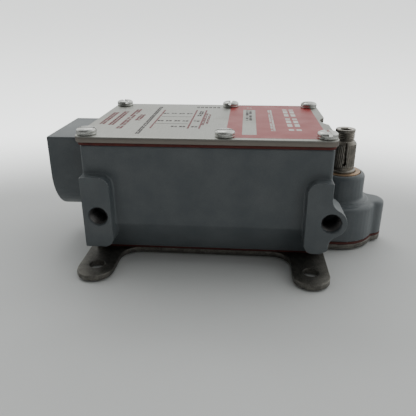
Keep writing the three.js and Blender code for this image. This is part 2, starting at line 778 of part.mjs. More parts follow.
// ---------- lever shaft ----------
function makeLeverShaft() {
  const seatLow = neckTop + collarHeight;
  const seatHigh = seatLow + leverSeatLength;
  const threadLow = seatHigh + undercutLength;
  const top = threadLow + threadLength;
  const tailEnd = camBottom - ringThickness - 3 * fitGap;
  const body = turned([
    [0, tailEnd], [tailRadius, tailEnd], [tailRadius, washerTop + fitGap / 2],
    [journalRadius, washerTop + fitGap / 2], [journalRadius, seatLow - collarChamfer],
    [leverSeatRadius, seatLow],
    [leverSeatRadius, seatHigh - shaftChamfer], [undercutRadius, seatHigh], [undercutRadius, threadLow],
    [threadRadius, threadLow], [threadRadius, top - endChamfer], [threadRadius - endChamfer, top], [0, top],
  ], shaftX, 0, shaftSteps);
  const socket = turned([
    [0, top - socketDepth], [socketAcross / Math.sqrt(3), top - socketDepth],
    [socketAcross / Math.sqrt(3), top + over], [0, top + over],
  ], shaftX, 0, 6);
  const slot = box(shaftX - driftSlotWidth / 2, shaftX + driftSlotWidth / 2,
    -leverSeatRadius - over, -leverSeatRadius + driftSlotDepth, seatLow + collarChamfer, seatHigh + over);
  const tailSide = tailRadius + over;
  const flats = [[-tailSide, -tailAcross / 2], [tailAcross / 2, tailSide]].map(
    ([y0, y1]) => box(shaftX - tailSide, shaftX + tailSide, y0, y1, tailEnd - over, camTop + fitGap));
  const ringGroove = ring(tailRadius - grooveDepth, tailSide, ringBottom() - seatGap, ringTop() + seatGap,
    shaftX, 0, holeSteps);
  const sealGroove = ring(journalRadius - grooveDepth, journalRadius + over, sealBottom() - seatGap,
    sealTop() + seatGap, shaftX);
  return cut(body, socket, slot, ...flats, ringGroove, sealGroove);
}

function ringTop() {
  return camBottom - fitGap;
}

function ringBottom() {
  return ringTop() - ringThickness;
}

function sealTop() {
  return neckTop - sealDrop;
}

function sealBottom() {
  return sealTop() - sealWidth;
}

function makeBushing() {
  const inner = journalRadius + fitGap / 2;
  const top = neckTop + bushingProud;
  const edge = top - bushingChamfer;
  return turned([
    [inner, cavityTop], [bushingRadius, cavityTop], [bushingRadius, edge],
    [bushingRadius - bushingChamfer, top],
    [inner + bushingChamfer, top], [inner, edge], [inner, cavityTop],
  ], shaftX);
}

function makeSeal() {
  const inner = journalRadius - grooveDepth + fitGap / 2;
  const outer = journalRadius + fitGap / 2 - seatGap;
  return ring(inner, outer, sealBottom(), sealTop(), shaftX, 0, shaftSteps);
}

function makeThrustWasher() {
  return ring(tailRadius + fitGap, washerRadius, washerBottom, washerTop - fitGap / 2, shaftX);
}

// An open ring that snaps into the shaft's groove under the cam.
function makeRetainingRing() {
  const inner = tailRadius - grooveDepth + fitGap / 2;
  const whole = ring(inner, ringRadius, ringBottom(), ringTop(), shaftX, 0, shaftSteps);
  const mouth = inner / 2;
  return cut(whole, box(
    shaftX - mouth, shaftX + mouth, -ringRadius - over, 0, ringBottom() - over, ringTop() + over));
}

// ---------- drive cam ----------
// The distance from the shaft axis to the cam's tangent line. It grows evenly with the angle on the faces
// that push the fork, so the slide moves in step with the shaft, and the cam's breadth stays the same.
function camSupport(angle) {
  const turn = Math.atan2(Math.sin(angle), Math.cos(angle));
  const quarter = Math.PI / 2;
  const folded = Math.abs(turn) <= quarter ? turn : Math.sign(turn) * Math.PI - turn;
  const past = Math.max(0, Math.abs(folded) - camSwing);
  const span = 2 * (quarter - camSwing);
  const rise = Math.min(Math.abs(folded), camSwing) + past - past ** 2 / span;
  return camRadius + Math.sign(folded) * camPerRadian * rise;
}

function makeCam() {
  const steps = 48;
  const small = 1e-3;
  const points = [];
  for (let i = 0; i < steps; i++) {
    const angle = (i / steps) * 2 * Math.PI;
    const change = (camSupport(angle + small) - camSupport(angle - small)) / (2 * small);
    const distance = camSupport(angle);
    points.push(new THREE.Vector2(
      shaftX + distance * Math.cos(angle) - change * Math.sin(angle),
      distance * Math.sin(angle) + change * Math.cos(angle)));
  }
  const plate = extruded(new THREE.Shape(points), camBottom, camTop);
  const low = camBottom - over;
  const high = camTop + over;
  const key = tailAcross / 2 + fitGap;
  const keyed = disc(tailRadius + fitGap, low, high, shaftX, 0, shaftSteps).intersect(
    box(shaftX - camRadius, shaftX + camRadius, -key, key, low - over, high + over));
  const pinHole = disc(
    pinRadius + fitGap, camTop - pinSink - fitGap, high, shaftX, drivePinOffset, holeSteps);
  return cut(plate, keyed, pinHole);
}

function makeDrivePin() {
  return disc(pinRadius, camTop - pinSink, washerBottom - fitGap, shaftX, drivePinOffset, holeSteps);
}

function makeAnchorPin() {
  return disc(pinRadius, camTop + 2 * fitGap, cavityTop + pinSink, shaftX, anchorPinOffset, holeSteps);
}

// A torsion spring round the shaft's tail, its legs on either side of both pins.
function makeReturnSpring() {
  const low = camTop + springWire + fitGap;
  const high = washerBottom - springWire - fitGap;
  const legX = pinRadius + springWire + fitGap;
  const legFoot = springRadius + 4 * springWire;
  const start = Math.acos(legX / springRadius);
  const sweep = 2 * Math.PI * springTurns - (Math.PI - 2 * start);
  const points = [new THREE.Vector3(shaftX + legX, springLegEnd, low)];
  points.push(new THREE.Vector3(shaftX + legX, legFoot, low));
  const steps = Math.round(sweep / (Math.PI / 8));
  for (let i = 1; i < steps; i++) {
    const angle = start - (i / steps) * sweep;
    const height = low + (i / steps) * (high - low);
    points.push(new THREE.Vector3(
      shaftX + springRadius * Math.cos(angle), springRadius * Math.sin(angle), height));
  }
  points.push(new THREE.Vector3(shaftX - legX, legFoot, high));
  points.push(new THREE.Vector3(shaftX - legX, springLegEnd, high));
  return wire(points, springWire, 64, 6);
}

// ---------- push slide ----------
// A fork round the cam, a bar that runs back into the housing, and a post that reaches the contact carrier.
function makePushSlide() {
  const reach = forkOutside - forkArm;
  const web = camSupport(-Math.PI / 2 + camSwing) + fitGap;
  const shape = new THREE.Shape();
  shape.moveTo(shaftX + reach, forkReach);
  shape.lineTo(shaftX + reach, -web);
  shape.lineTo(shaftX - reach, -web);
  shape.lineTo(shaftX - reach, forkReach);
  shape.lineTo(shaftX - reach - forkArm, forkReach);
  shape.lineTo(shaftX - reach - forkArm, -web);
  shape.lineTo(shaftX - reach, -web - forkArm);
  shape.lineTo(shaftX + reach, -web - forkArm);
  shape.lineTo(shaftX + reach + forkArm, -web);
  shape.lineTo(shaftX + reach + forkArm, forkReach);
  const barEnd = postX - postHalf - barHalfWidth;
  const bar = box(barEnd, shaftX - reach - forkArm / 2, -barHalfWidth, barHalfWidth, camBottom, camTop);
  const postTop = carrierBottom + carrierHeight - carrierRoof - slideGap;
  const post = box(postX - postHalf, postX + postHalf, -postHalf, postHalf, camTop - over, postTop);
  return joined(extruded(shape, camBottom, camTop), bar, post);
}

// A hat-shaped strap, screwed up to the web, carries the bar between its sides.
function makeSlideGuide() {
  const inner = barHalfWidth + slideGap;
  const outer = inner + guideSheet;
  const low = camBottom - slideGap;
  const top = webBottom - seatGap;
  const shape = new THREE.Shape([
    new THREE.Vector2(-outer, low - guideSheet), new THREE.Vector2(outer, low - guideSheet),
    new THREE.Vector2(outer, top - guideSheet), new THREE.Vector2(outer + guideFlange, top - guideSheet),
    new THREE.Vector2(outer + guideFlange, top), new THREE.Vector2(inner, top), new THREE.Vector2(inner, low),
    new THREE.Vector2(-inner, low), new THREE.Vector2(-inner, top),
    new THREE.Vector2(-outer - guideFlange, top),
    new THREE.Vector2(-outer - guideFlange, top - guideSheet), new THREE.Vector2(-outer, top - guideSheet),
  ]);
  const strap = extruded(shape, guideX - guideLength / 2, guideX + guideLength / 2, 'x');
  const holes = [-guideScrewY(), guideScrewY()].map(
    (y) => disc(blockScrewShank + fitGap, low, top + over, guideX, y, holeSteps));
  return cut(strap, ...holes);
}

// A round-headed screw driven upwards into the web.
function upwardScrew(x, y, seat, length) {
  const head = blockScrewHead;
  const headHeight = smallHeadHeight;
  return turned([
    [0, seat - headHeight], [head * 0.7, seat - headHeight], [head, seat - headHeight / 2], [head, seat],
    [blockScrewShank, seat], [blockScrewShank, seat + length], [0, seat + length],
  ], x, y, holeSteps);
}

// ---------- contact block ----------
function makeContactBlock() {
  const x0 = postX - blockLength / 2;
  const x1 = postX + blockLength / 2;
  const body = box(x0, x1, -blockHalfWidth, blockHalfWidth, blockBottom, blockTop);
  const floor = blockBottom + blockFloor;
  const above = blockTop + over;
  const troughEnd = bridgeOffset + carrierEnd + slideTravel + slideGap;
  const tools = [
    box(postX - troughEnd, postX + troughEnd, -troughHalfWidth, troughHalfWidth, floor, above),
    postSlot(blockBottom - over, floor + over),
  ];
  const halfSlot = contactFace + contactSheet + fitGap;
  for (const side of [-1, 1]) {
    const bridgeX = postX + side * bridgeOffset;
    const end = bridgeHalfLength + 2 * slideGap;
    tools.push(box(bridgeX - halfSlot, bridgeX + halfSlot, -end, end, floor, above));
  }
  for (const place of terminals()) {
    const [y0, y1] = inOrder(place.side * troughHalfWidth, place.side * (blockHalfWidth + over));
    const [x0Pad, x1Pad] = inOrder(place.bridgeX, place.x + place.hand * (terminalWidth / 2 + fitGap));
    tools.push(box(x0Pad, x1Pad, y0, y1, terminalSeat, above));
    tools.push(disc(terminalScrewShank + fitGap, terminalSeat - terminalScrewLength, above, place.x, place.y,
      holeSteps));
  }
  const screwBore = blockScrewShank + fitGap;
  for (const x of blockScrewX()) tools.push(disc(screwBore, blockBottom - over, above, x, 0, holeSteps));
  return cut(body, ...tools);
}

// Every terminal: which bridge it serves, which way along X it lies from it, and on which side.
function terminals() {
  const places = [];
  for (const side of [-1, 1]) {
    for (const bridge of [-1, 1]) {
      for (const hand of [-1, 1]) {
        const bridgeX = postX + bridge * bridgeOffset;
        places.push({ side, hand, bridgeX, x: bridgeX + hand * terminalPitch, y: side * terminalScrewY });
      }
    }
  }
  return places;
}

// A fixed contact is a flat pad under the terminal screw with a leg that faces the bridge.
function makeFixedContact({ side, hand, bridgeX, x, y }) {
  const low = terminalSeat + seatGap;
  const padInner = bridgeHalfLength - contactOverlap;
  const padOuter = blockHalfWidth - slideGap;
  const face = bridgeX + hand * contactFace;
  const back = face + hand * contactSheet;
  const padEnd = x + hand * terminalWidth / 2;
  const padY = inOrder(side * padInner, side * padOuter);
  const legY = inOrder(side * padInner, side * (bridgeHalfLength + fitGap));
  const pad = box(...inOrder(face, padEnd), ...padY, low, low + contactSheet);
  const leg = box(...inOrder(face, back), ...legY, bridgeMiddleZ - bridgeWidth / 2, low + contactSheet);
  return cut(joined(pad, leg), disc(terminalScrewShank + fitGap, low - over, low + 3, x, y, 12));
}

function makeTerminalScrew({ x, y }) {
  return slottedScrew({
    x, y, seat: terminalSeat + contactSheet + 2 * seatGap, head: terminalScrewHead,
    headHeight: smallHeadHeight, shank: terminalScrewShank, length: terminalScrewLength,
    slotAngle: 0.7 + 0.13 * x, rim: 0.7, rings: 1,
  });
}

// The carrier slides in the block's trough and holds both bridges in windows.
function makeCarrier() {
  const length = bridgeOffset + carrierEnd;
  const width = troughHalfWidth - slideGap;
  const top = carrierBottom + carrierHeight;
  const body = box(postX - length, postX + length, -width, width, carrierBottom, top);
  const hold = postHalf + fitGap;
  const socket = box(postX - hold, postX + hold, -hold, hold, carrierBottom - over, top - carrierRoof);
  const windows = [-1, 1].map((side) => {
    const x = postX + side * bridgeOffset;
    return box(x - bridgeThickness / 2 - seatGap, x + bridgeSpringRoom, -width - over, width + over,
      bridgeMiddleZ - bridgeWidth / 2 - fitGap, bridgeMiddleZ + bridgeWidth / 2 + fitGap);
  });
  return cut(body, socket, ...windows);
}

// A bridge is a flat bar across the carrier that meets a fixed contact with each end.
function makeBridge(side) {
  const x = postX + side * bridgeOffset;
  const half = bridgeThickness / 2;
  return box(x - half, x + half, -bridgeHalfLength, bridgeHalfLength,
    bridgeMiddleZ - bridgeWidth / 2, bridgeMiddleZ + bridgeWidth / 2);
}

function makeBridgeSpring(side) {
  const endGap = bridgeSpringWire + fitGap;
  const start = postX + side * bridgeOffset + bridgeThickness / 2 + endGap;
  const length = bridgeSpringRoom - bridgeThickness / 2 - 2 * endGap;
  const points = [];
  const perTurn = 8;
  const steps = bridgeSpringTurns * perTurn;
  for (let i = 0; i <= steps; i++) {
    const angle = (i / perTurn) * 2 * Math.PI;
    points.push(new THREE.Vector3(start + (i / steps) * length, bridgeSpringRadius * Math.cos(angle),
      bridgeMiddleZ + bridgeSpringRadius * Math.sin(angle)));
  }
  return wire(points, bridgeSpringWire, steps, 6);
}

function makeBlockCap() {
  const half = blockLength / 2 - slideGap;
  const side = troughHalfWidth + slideGap + fitGap;
  const low = blockTop + seatGap;
  const plate = box(postX - half, postX + half, -side, side, low, low + capThickness);
  return cut(plate, ...blockScrewX().map(
    (x) => disc(blockScrewShank + fitGap, blockTop, blockTop + capThickness + over, x, 0, holeSteps)));
}

// ---------- the assembly ----------
addPiece('housing', makeHousing(), 'castingPaint');
addPiece('front_cover', makeCover(), 'brushedSteel');
addPiece('front_cover_gasket', makeCoverGasket(), 'redRubber');
let coverScrewCount = 0;
for (const x of coverScrewX) {
  for (const y of [-coverScrewY, coverScrewY]) {
    coverScrewCount += 1;
    addPiece('cover_screw_' + coverScrewCount, slottedScrew({
      x, y, seat: coverTop + seatGap, head: coverScrewHead, headHeight: coverScrewHeadHeight,
      shank: coverScrewShank, length: coverScrewLength, slotAngle: 0.4 + 1.1 * coverScrewCount,
    }), 'brightSteel');
  }
}
addPiece('base_plate', makeBasePlate(), 'wornSteel');
addPiece('base_gasket', makeBaseGasket(), 'redRubber');
plateScrewPlaces.forEach(
  ([x, y], i) => addPiece('base_plate_screw_' + (i + 1), countersunkScrew(x, y), 'wornSteel'));
addPiece('lever_shaft', makeLeverShaft(), 'darkSteel');
addPiece('shaft_bushing', makeBushing(), 'bronze');
addPiece('shaft_seal', makeSeal(), 'blackRubber');
addPiece('thrust_washer', makeThrustWasher(), 'bronze');
addPiece('drive_cam', makeCam(), 'darkSteel');
addPiece('cam_retaining_ring', makeRetainingRing(), 'springSteel');
addPiece('cam_drive_pin', makeDrivePin(), 'brightSteel');
addPiece('spring_anchor_pin', makeAnchorPin(), 'brightSteel');
addPiece('return_spring', makeReturnSpring(), 'springSteel');
addPiece('push_slide', makePushSlide(), 'whitePlastic');
addPiece('slide_guide', makeSlideGuide(), 'brightSteel');
[-guideScrewY(), guideScrewY()].forEach((y, i) => addPiece(
  'guide_screw_' + (i + 1), upwardScrew(guideX, y, webBottom - guideSheet - 2 * seatGap, 3), 'brightSteel'));
addPiece('contact_block', makeContactBlock(), 'phenolic');
addPiece('contact_block_cap', makeBlockCap(), 'phenolic');
blockScrewX().forEach((x, i) => addPiece('contact_block_screw_' + (i + 1), slottedScrew({
  x, y: 0, seat: blockTop + capThickness + 2 * seatGap, head: blockScrewHead, headHeight: smallHeadHeight,
  shank: blockScrewShank, length: blockHeight + capThickness + webThickness, slotAngle: 0.5 + i, rim: 0.6,
  rings: 2,
}), 'brightSteel'));
addPiece('contact_carrier', makeCarrier(), 'whitePlastic');
[-1, 1].forEach((side, i) => {
  addPiece('contact_bridge_' + (i + 1), makeBridge(side), 'silver');
  addPiece('bridge_spring_' + (i + 1), makeBridgeSpring(side), 'springSteel');
});
terminals().forEach((place, i) => {
  addPiece('fixed_contact_' + (i + 1), makeFixedContact(place), 'brass');
  addPiece('terminal_screw_' + (i + 1), makeTerminalScrew(place), 'brass');
});
const [groundX, groundY] = groundScrewPlace();
addPiece('ground_screw', slottedScrew({
  x: groundX, y: groundY, seat: webTop + seatGap, head: groundScrewHead, headHeight: smallHeadHeight,
  shank: blockScrewShank, length: groundScrewLength, slotAngle: 0.9, rim: 0.7, rings: 2,
}), 'greenScrew');

export default limitSwitch;
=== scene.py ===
# A heavy-duty limit switch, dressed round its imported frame. Metres, +Z away from the mounting surface.
# +X points towards the shaft head, -X towards the conduit entry, and the print on the cover runs along Y.
import math

import bmesh
import bpy
import numpy as np
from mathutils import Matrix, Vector
from mathutils.geometry import tessellate_polygon


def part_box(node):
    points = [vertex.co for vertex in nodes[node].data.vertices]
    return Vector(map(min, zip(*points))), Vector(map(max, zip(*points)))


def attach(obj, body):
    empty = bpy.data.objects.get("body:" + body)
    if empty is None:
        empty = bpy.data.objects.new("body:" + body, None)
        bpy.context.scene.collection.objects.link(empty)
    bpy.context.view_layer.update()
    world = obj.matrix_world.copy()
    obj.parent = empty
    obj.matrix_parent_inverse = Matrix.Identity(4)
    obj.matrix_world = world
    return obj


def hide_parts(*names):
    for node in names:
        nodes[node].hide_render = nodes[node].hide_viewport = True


mm = 0.001
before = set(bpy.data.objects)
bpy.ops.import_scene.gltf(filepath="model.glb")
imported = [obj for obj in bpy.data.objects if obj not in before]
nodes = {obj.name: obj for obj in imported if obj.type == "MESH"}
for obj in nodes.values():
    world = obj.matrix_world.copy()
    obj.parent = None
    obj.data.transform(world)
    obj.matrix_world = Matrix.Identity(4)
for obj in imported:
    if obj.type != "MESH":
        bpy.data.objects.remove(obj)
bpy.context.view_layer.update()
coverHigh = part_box("front_cover")[1]
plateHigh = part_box("base_plate")[1]
castLow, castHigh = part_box("housing")
shaftLow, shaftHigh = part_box("lever_shaft")
shaftX = (shaftLow.x + shaftHigh.x) / 2
print("frame loaded")


# small tools for node materials
def newMaterial(name, colour, metal=0.0, rough=0.5):
    material = bpy.data.materials.new(name)
    material.use_nodes = True
    tree = material.node_tree
    shader = tree.nodes["Principled BSDF"]
    shader.inputs["Base Color"].default_value = (*colour, 1)
    shader.inputs["Metallic"].default_value = metal
    shader.inputs["Roughness"].default_value = rough
    material.diffuse_color = (*colour, 1)
    return material, tree, shader


def place(tree, scale=(1, 1, 1), turn=(0, 0, 0), shift=(0, 0, 0)):
    # a point on the piece, moved, turned and stretched
    where = tree.nodes.new("ShaderNodeTexCoord")
    mapping = tree.nodes.new("ShaderNodeMapping")
    mapping.inputs["Location"].default_value = shift
    mapping.inputs["Rotation"].default_value = turn
    mapping.inputs["Scale"].default_value = scale
    tree.links.new(where.outputs["Object"], mapping.inputs["Vector"])
    return mapping.outputs["Vector"]


def clouds(tree, point, size, detail=3.0, rough=0.55, warp=0.0):
    # soft noise whose blobs are about this size
    noise = tree.nodes.new("ShaderNodeTexNoise")
    noise.inputs["Scale"].default_value = 1 / size
    noise.inputs["Detail"].default_value = detail
    noise.inputs["Roughness"].default_value = rough
    noise.inputs["Distortion"].default_value = warp
    tree.links.new(point, noise.inputs["Vector"])
    return noise.outputs["Fac"]


def specks(tree, point, size, feature="F1"):
    cells = tree.nodes.new("ShaderNodeTexVoronoi")
    cells.feature = feature
    cells.inputs["Scale"].default_value = 1 / size
    tree.links.new(point, cells.inputs["Vector"])
    return cells.outputs["Distance"]


def plug(tree, value, socket):
    # joins a socket to a socket, or sets a socket's own value
    if isinstance(value, bpy.types.NodeSocket):
        tree.links.new(value, socket)
    elif isinstance(value, tuple) and socket.type == "RGBA":
        socket.default_value = (*value, 1)
    else:
        socket.default_value = value


def sums(tree, operation, a, b=0.5, clamp=False):
    node = tree.nodes.new("ShaderNodeMath")
    node.operation = operation
    node.use_clamp = clamp
    plug(tree, a, node.inputs[0])
    if len(node.inputs) > 1:
        plug(tree, b, node.inputs[1])
    return node.outputs[0]


def spread(tree, value, low, high, outLow=0.0, outHigh=1.0, smooth=False):
    # value between low and high becomes outLow to outHigh
    node = tree.nodes.new("ShaderNodeMapRange")
    node.interpolation_type = "SMOOTHSTEP" if smooth else "LINEAR"
    plug(tree, value, node.inputs["Value"])
    for label, number in (("From Min", low), ("From Max", high), ("To Min", outLow), ("To Max", outHigh)):
        plug(tree, number, node.inputs[label])
    return node.outputs["Result"]


def tint(tree, amount, first, second):
    node = tree.nodes.new("ShaderNodeMix")
    node.data_type = "RGBA"
    plug(tree, amount, node.inputs[0])
    plug(tree, first, node.inputs[6])
    plug(tree, second, node.inputs[7])
    return node.outputs[2]


def attribute(tree, name):
    node = tree.nodes.new("ShaderNodeAttribute")
    node.attribute_name = name
    return node.outputs["Fac"]


def relief(tree, shader, *layers):
    # stacked bumps: (height, strength, distance)
    last = None
    for height, strength, distance in layers:
        bump = tree.nodes.new("ShaderNodeBump")
        bump.inputs["Strength"].default_value = strength
        bump.inputs["Distance"].default_value = distance
        tree.links.new(height, bump.inputs["Height"])
        if last:
            tree.links.new(last, bump.inputs["Normal"])
        last = bump.outputs["Normal"]
    tree.links.new(last, shader.inputs["Normal"])


# materials
# the bare colour is bare metal at the chips, and also a painted highlight along the outer edges
paintLook = dict(
    fresh=(0.102, 0.117, 0.127), dusty=(0.146, 0.159, 0.167), bare=(0.42, 0.42, 0.41),
    patchSize=14 * mm, grainSize=0.55 * mm, peelSize=2.2 * mm, rough=0.40,
)


def castingPaint():
    look = paintLook
    material, tree, shader = newMaterial("blueGreyCastingPaint", look["fresh"])
    here = place(tree)
    patches = clouds(tree, here, look["patchSize"], 4)
    grain = clouds(tree, here, look["grainSize"], 3, 0.6)
    peel = clouds(tree, here, look["peelSize"], 2)
    pits = spread(tree, specks(tree, here, 1.7 * mm), 0.0, 0.16, 0, 1, True)
    colour = tint(tree, spread(tree, patches, 0.35, 0.7), look["fresh"], look["dusty"])
    colour = tint(tree, spread(tree, grain, 0.3, 0.7, 0, 0.35), colour, (0.075, 0.088, 0.098))
    # paint is rubbed thin on the outer edges and chipped here and there; the lightening along the outer edges
    # is also a painted highlight on the casting's corners
    wear = sums(tree, "ADD", attribute(tree, "edgeWearAndHighlight"), spread(tree, grain, 0.3, 0.7, -0.25, 0.25))
    rubbedAndHighlit = spread(tree, wear, 0.60, 1.0, 0, 0.5, True)
    patchyWear = sums(tree, "MULTIPLY", wear, clouds(tree, here, 5 * mm, 3))
    chips = spread(tree, patchyWear, 0.66, 0.70, 0, 0.9, True)
    bare = sums(tree, "MAXIMUM", rubbedAndHighlit, chips)
    colour = tint(tree, bare, colour, look["bare"])
    tree.links.new(colour, shader.inputs["Base Color"])
    tree.links.new(sums(tree, "MULTIPLY", chips, 0.8), shader.inputs["Metallic"])
    roughness = spread(tree, patches, 0.3, 0.7, look["rough"] - 0.05, look["rough"] + 0.09)
    tree.links.new(roughness, shader.inputs["Roughness"])
    relief(tree, shader, (peel, 0.25, 0.20 * mm), (grain, 0.22, 0.09 * mm), (pits, 0.12, 0.10 * mm))
    return material


coverLook = dict(
    base=(0.48, 0.48, 0.45), dark=(0.28, 0.28, 0.255), rim=(0.20, 0.175, 0.155),
    lineWidth=0.16 * mm, lineLength=9 * mm,
)


def brushedCover():
    look = coverLook
    material, tree, shader = newMaterial("brushedCoverSteel", look["base"], 1.0, 0.4)
    fine = place(tree, (1 / look["lineWidth"], 1 / look["lineLength"], 1 / look["lineWidth"]))
    coarse = place(tree, (1 / (4 * look["lineWidth"]), 1 / (2 * look["lineLength"]), 300))
    lines = clouds(tree, fine, 1, 2, 0.7)
    bands = clouds(tree, coarse, 1, 3, 0.6)
    stains = clouds(tree, place(tree), 17 * mm, 4)
    colour = tint(tree, spread(tree, lines, 0.3, 0.72), look["dark"], look["base"])
    colour = tint(tree, spread(tree, bands, 0.35, 0.75, 0, 0.35), colour, (0.34, 0.335, 0.31))
    colour = tint(tree, spread(tree, stains, 0.5, 0.75, 0, 0.25), colour, (0.30, 0.29, 0.26))
    wear = sums(tree, "ADD", attribute(tree, "edgeWearAndHighlight"), spread(tree, lines, 0.2, 0.8, -0.3, 0.3))
    colour = tint(tree, spread(tree, wear, 0.6, 1.0, 0, 0.7), colour, (0.72, 0.71, 0.68))
    # the sawn edge is darker than the brushed face
    split = tree.nodes.new("ShaderNodeSeparateXYZ")
    tree.links.new(place(tree), split.inputs[0])
    edge = spread(tree, split.outputs[2], coverHigh.z - 0.6 * mm, coverHigh.z - 0.3 * mm, 0.85, 0)
    colour = tint(tree, edge, colour, look["rim"])
    tree.links.new(colour, shader.inputs["Base Color"])
    tree.links.new(spread(tree, lines, 0.25, 0.75, 0.34, 0.52), shader.inputs["Roughness"])
    shader.inputs["Anisotropic"].default_value = 0.5
    relief(tree, shader, (lines, 0.28, 0.03 * mm), (bands, 0.10, 0.05 * mm))
    return material


def printedInk(name, colour, rubbedColour, gloss=0.30):
    material, tree, shader = newMaterial(name, colour, 0.0, gloss)
    shader.inputs["Specular IOR Level"].default_value = 0.3
    here = place(tree)
    scuffs = clouds(tree, place(tree, (1, 0.12, 1), (0, 0, 0.2)), 1.1 * mm, 4, 0.65)
    mottle = clouds(tree, here, 9 * mm, 3)
    shade = tint(tree, spread(tree, mottle, 0.35, 0.7, 0, 0.5), colour, rubbedColour)
    shade = tint(tree, spread(tree, scuffs, 0.66, 0.84, 0, 0.06), shade, (0.45, 0.42, 0.40))
    tree.links.new(shade, shader.inputs["Base Color"])
    tree.links.new(spread(tree, mottle, 0.3, 0.7, gloss - 0.02, gloss + 0.06), shader.inputs["Roughness"])
    relief(tree, shader, (clouds(tree, here, 2.5 * mm, 2), 0.02, 0.03 * mm))
    return material


def sheetRubber(name, colour, dust):
    material, tree, shader = newMaterial(name, colour, 0.0, 0.72)
    here = place(tree)
    fibres = clouds(tree, place(tree, (1, 1, 4)), 0.7 * mm, 4, 0.7)
    blotches = clouds(tree, here, 6 * mm, 3)
    shade = tint(tree, spread(tree, fibres, 0.35, 0.75), colour, dust)
    shade = tint(tree, spread(tree, blotches, 0.45, 0.7, 0, 0.6), shade, tuple(c * 0.4 for c in colour))
    tree.links.new(shade, shader.inputs["Base Color"])
    tree.links.new(spread(tree, fibres, 0.3, 0.7, 0.62, 0.85), shader.inputs["Roughness"])
    relief(tree, shader, (fibres, 0.5, 0.12 * mm))
    return material


def workedMetal(name, colour, dull, rough=0.35, grain=0.4 * mm, stretch=(1, 1, 1), scratch=0.35, dirt=0.4):
    # turned, plated or ground metal with stains, fine scratches and brighter edges
    material, tree, shader = newMaterial(name, colour, 1.0, rough)
    here = place(tree)
    fine = clouds(tree, place(tree, stretch), grain, 3, 0.65)
    stains = clouds(tree, here, 3.5 * mm, 4, 0.6)
    marks = specks(tree, place(tree, (1, 7, 2), (0.3, 0.2, 0.9)), 1.6 * mm, "DISTANCE_TO_EDGE")
    scratches = spread(tree, marks, 0.0, 0.05, 1, 0)
    shade = tint(tree, spread(tree, stains, 0.4, 0.7, 0, dirt + 0.4), colour, dull)
    shade = tint(tree, spread(tree, fine, 0.35, 0.8, 0, 0.5), shade, tuple(c * 0.55 for c in dull))
    wear = sums(tree, "ADD", attribute(tree, "edgeWearAndHighlight"), spread(tree, fine, 0.3, 0.7, -0.3, 0.3))
    bright = tuple(min(1, c * 1.5 + 0.12) for c in colour)
    shade = tint(tree, spread(tree, wear, 0.55, 1.0, 0, 0.8), shade, bright)
    shade = tint(tree, sums(tree, "MULTIPLY", scratches, scratch * 0.6), shade, bright)
    tree.links.new(shade, shader.inputs["Base Color"])
    tree.links.new(spread(tree, fine, 0.3, 0.7, rough - 0.07, rough + 0.14), shader.inputs["Roughness"])
    relief(tree, shader, (fine, 0.25, 0.05 * mm), (scratches, scratch * 0.3, 0.03 * mm))
    return material


def mouldedPlastic(name, colour, shade, rough=0.5, fleck=0.25):
    material, tree, shader = newMaterial(name, colour, 0.0, rough)
    here = place(tree)
    flow = clouds(tree, here, 7 * mm, 4, 0.6, 1.2)
    grain = clouds(tree, here, 0.35 * mm, 3)
    mixed = tint(tree, spread(tree, flow, 0.35, 0.7), colour, shade)
    pale = tuple(min(1, c * 1.6 + 0.03) for c in colour)
    mixed = tint(tree, spread(tree, grain, 0.55, 0.8, 0, fleck), mixed, pale)
    tree.links.new(mixed, shader.inputs["Base Color"])
    tree.links.new(spread(tree, grain, 0.3, 0.7, rough - 0.06, rough + 0.1), shader.inputs["Roughness"])
    relief(tree, shader, (grain, 0.18, 0.06 * mm), (flow, 0.08, 0.2 * mm))
    return material


paint = castingPaint()
coverSteel = brushedCover()
redPanelInk = printedInk("redPanelInk", (0.40, 0.045, 0.045), (0.34, 0.050, 0.050), 0.36)
redMarkInk = printedInk("redMarkInk", (0.20, 0.026, 0.030), (0.21, 0.045, 0.048), 0.45)
greyMarkInk = printedInk("greyMarkInk", (0.050, 0.036, 0.037), (0.075, 0.055, 0.055), 0.45)
paleMarkInk = workedMetal("paleMarkMetal", (0.60, 0.60, 0.57), (0.45, 0.45, 0.42), 0.42, dirt=0.1)
coverGasketRubber = sheetRubber("coverGasketRubber", (0.100, 0.012, 0.010), (0.155, 0.040, 0.030))
baseGasketRubber = sheetRubber("baseGasketRubber", (0.075, 0.013, 0.011), (0.13, 0.040, 0.030))
screwSteel = workedMetal(
    "platedScrewSteel", (0.60, 0.60, 0.575), (0.42, 0.42, 0.395), 0.27, 0.6 * mm, scratch=0.12, dirt=0.1)
plateSteel = workedMetal(
    "dullPlateSteel", (0.20, 0.19, 0.17), (0.10, 0.095, 0.085), 0.42, 0.7 * mm, (1, 0.3, 1), 0.9, 0.5)
plateScrewSteel = workedMetal("dullScrewSteel", (0.30, 0.30, 0.28), (0.16, 0.155, 0.14), 0.40)
shaftSteel = workedMetal(
    "darkShaftSteel", (0.27, 0.25, 0.22), (0.12, 0.11, 0.095), 0.34, 0.35 * mm, (1, 1, 0.2), 0.3, 0.5)
bronze = workedMetal("dulledBronze", (0.46, 0.32, 0.21), (0.27, 0.18, 0.12), 0.42, 0.4 * mm, dirt=0.5)
# the side-hole threads are near black: painted shade for the inside of the deep holes, far darker than cut
# metal
threadMetalPaintedShade = workedMetal(
    "cutThreadPaintedShade", (0.034, 0.031, 0.030), (0.008, 0.007, 0.007), 0.34, 0.5 * mm, dirt=0.6)
camSteel = workedMetal("groundCamSteel", (0.36, 0.35, 0.34), (0.22, 0.21, 0.20), 0.30, 0.3 * mm, (3, 0.3, 3))
springSteel = workedMetal("drawnSpringSteel", (0.42, 0.42, 0.42), (0.24, 0.235, 0.23), 0.27, 0.25 * mm)
pinSteel = workedMetal("platedPinSteel", (0.55, 0.55, 0.54), (0.36, 0.36, 0.35), 0.26, 0.3 * mm)
silver = workedMetal("contactSilver", (0.72, 0.71, 0.68), (0.48, 0.46, 0.42), 0.25, 0.3 * mm, dirt=0.3)
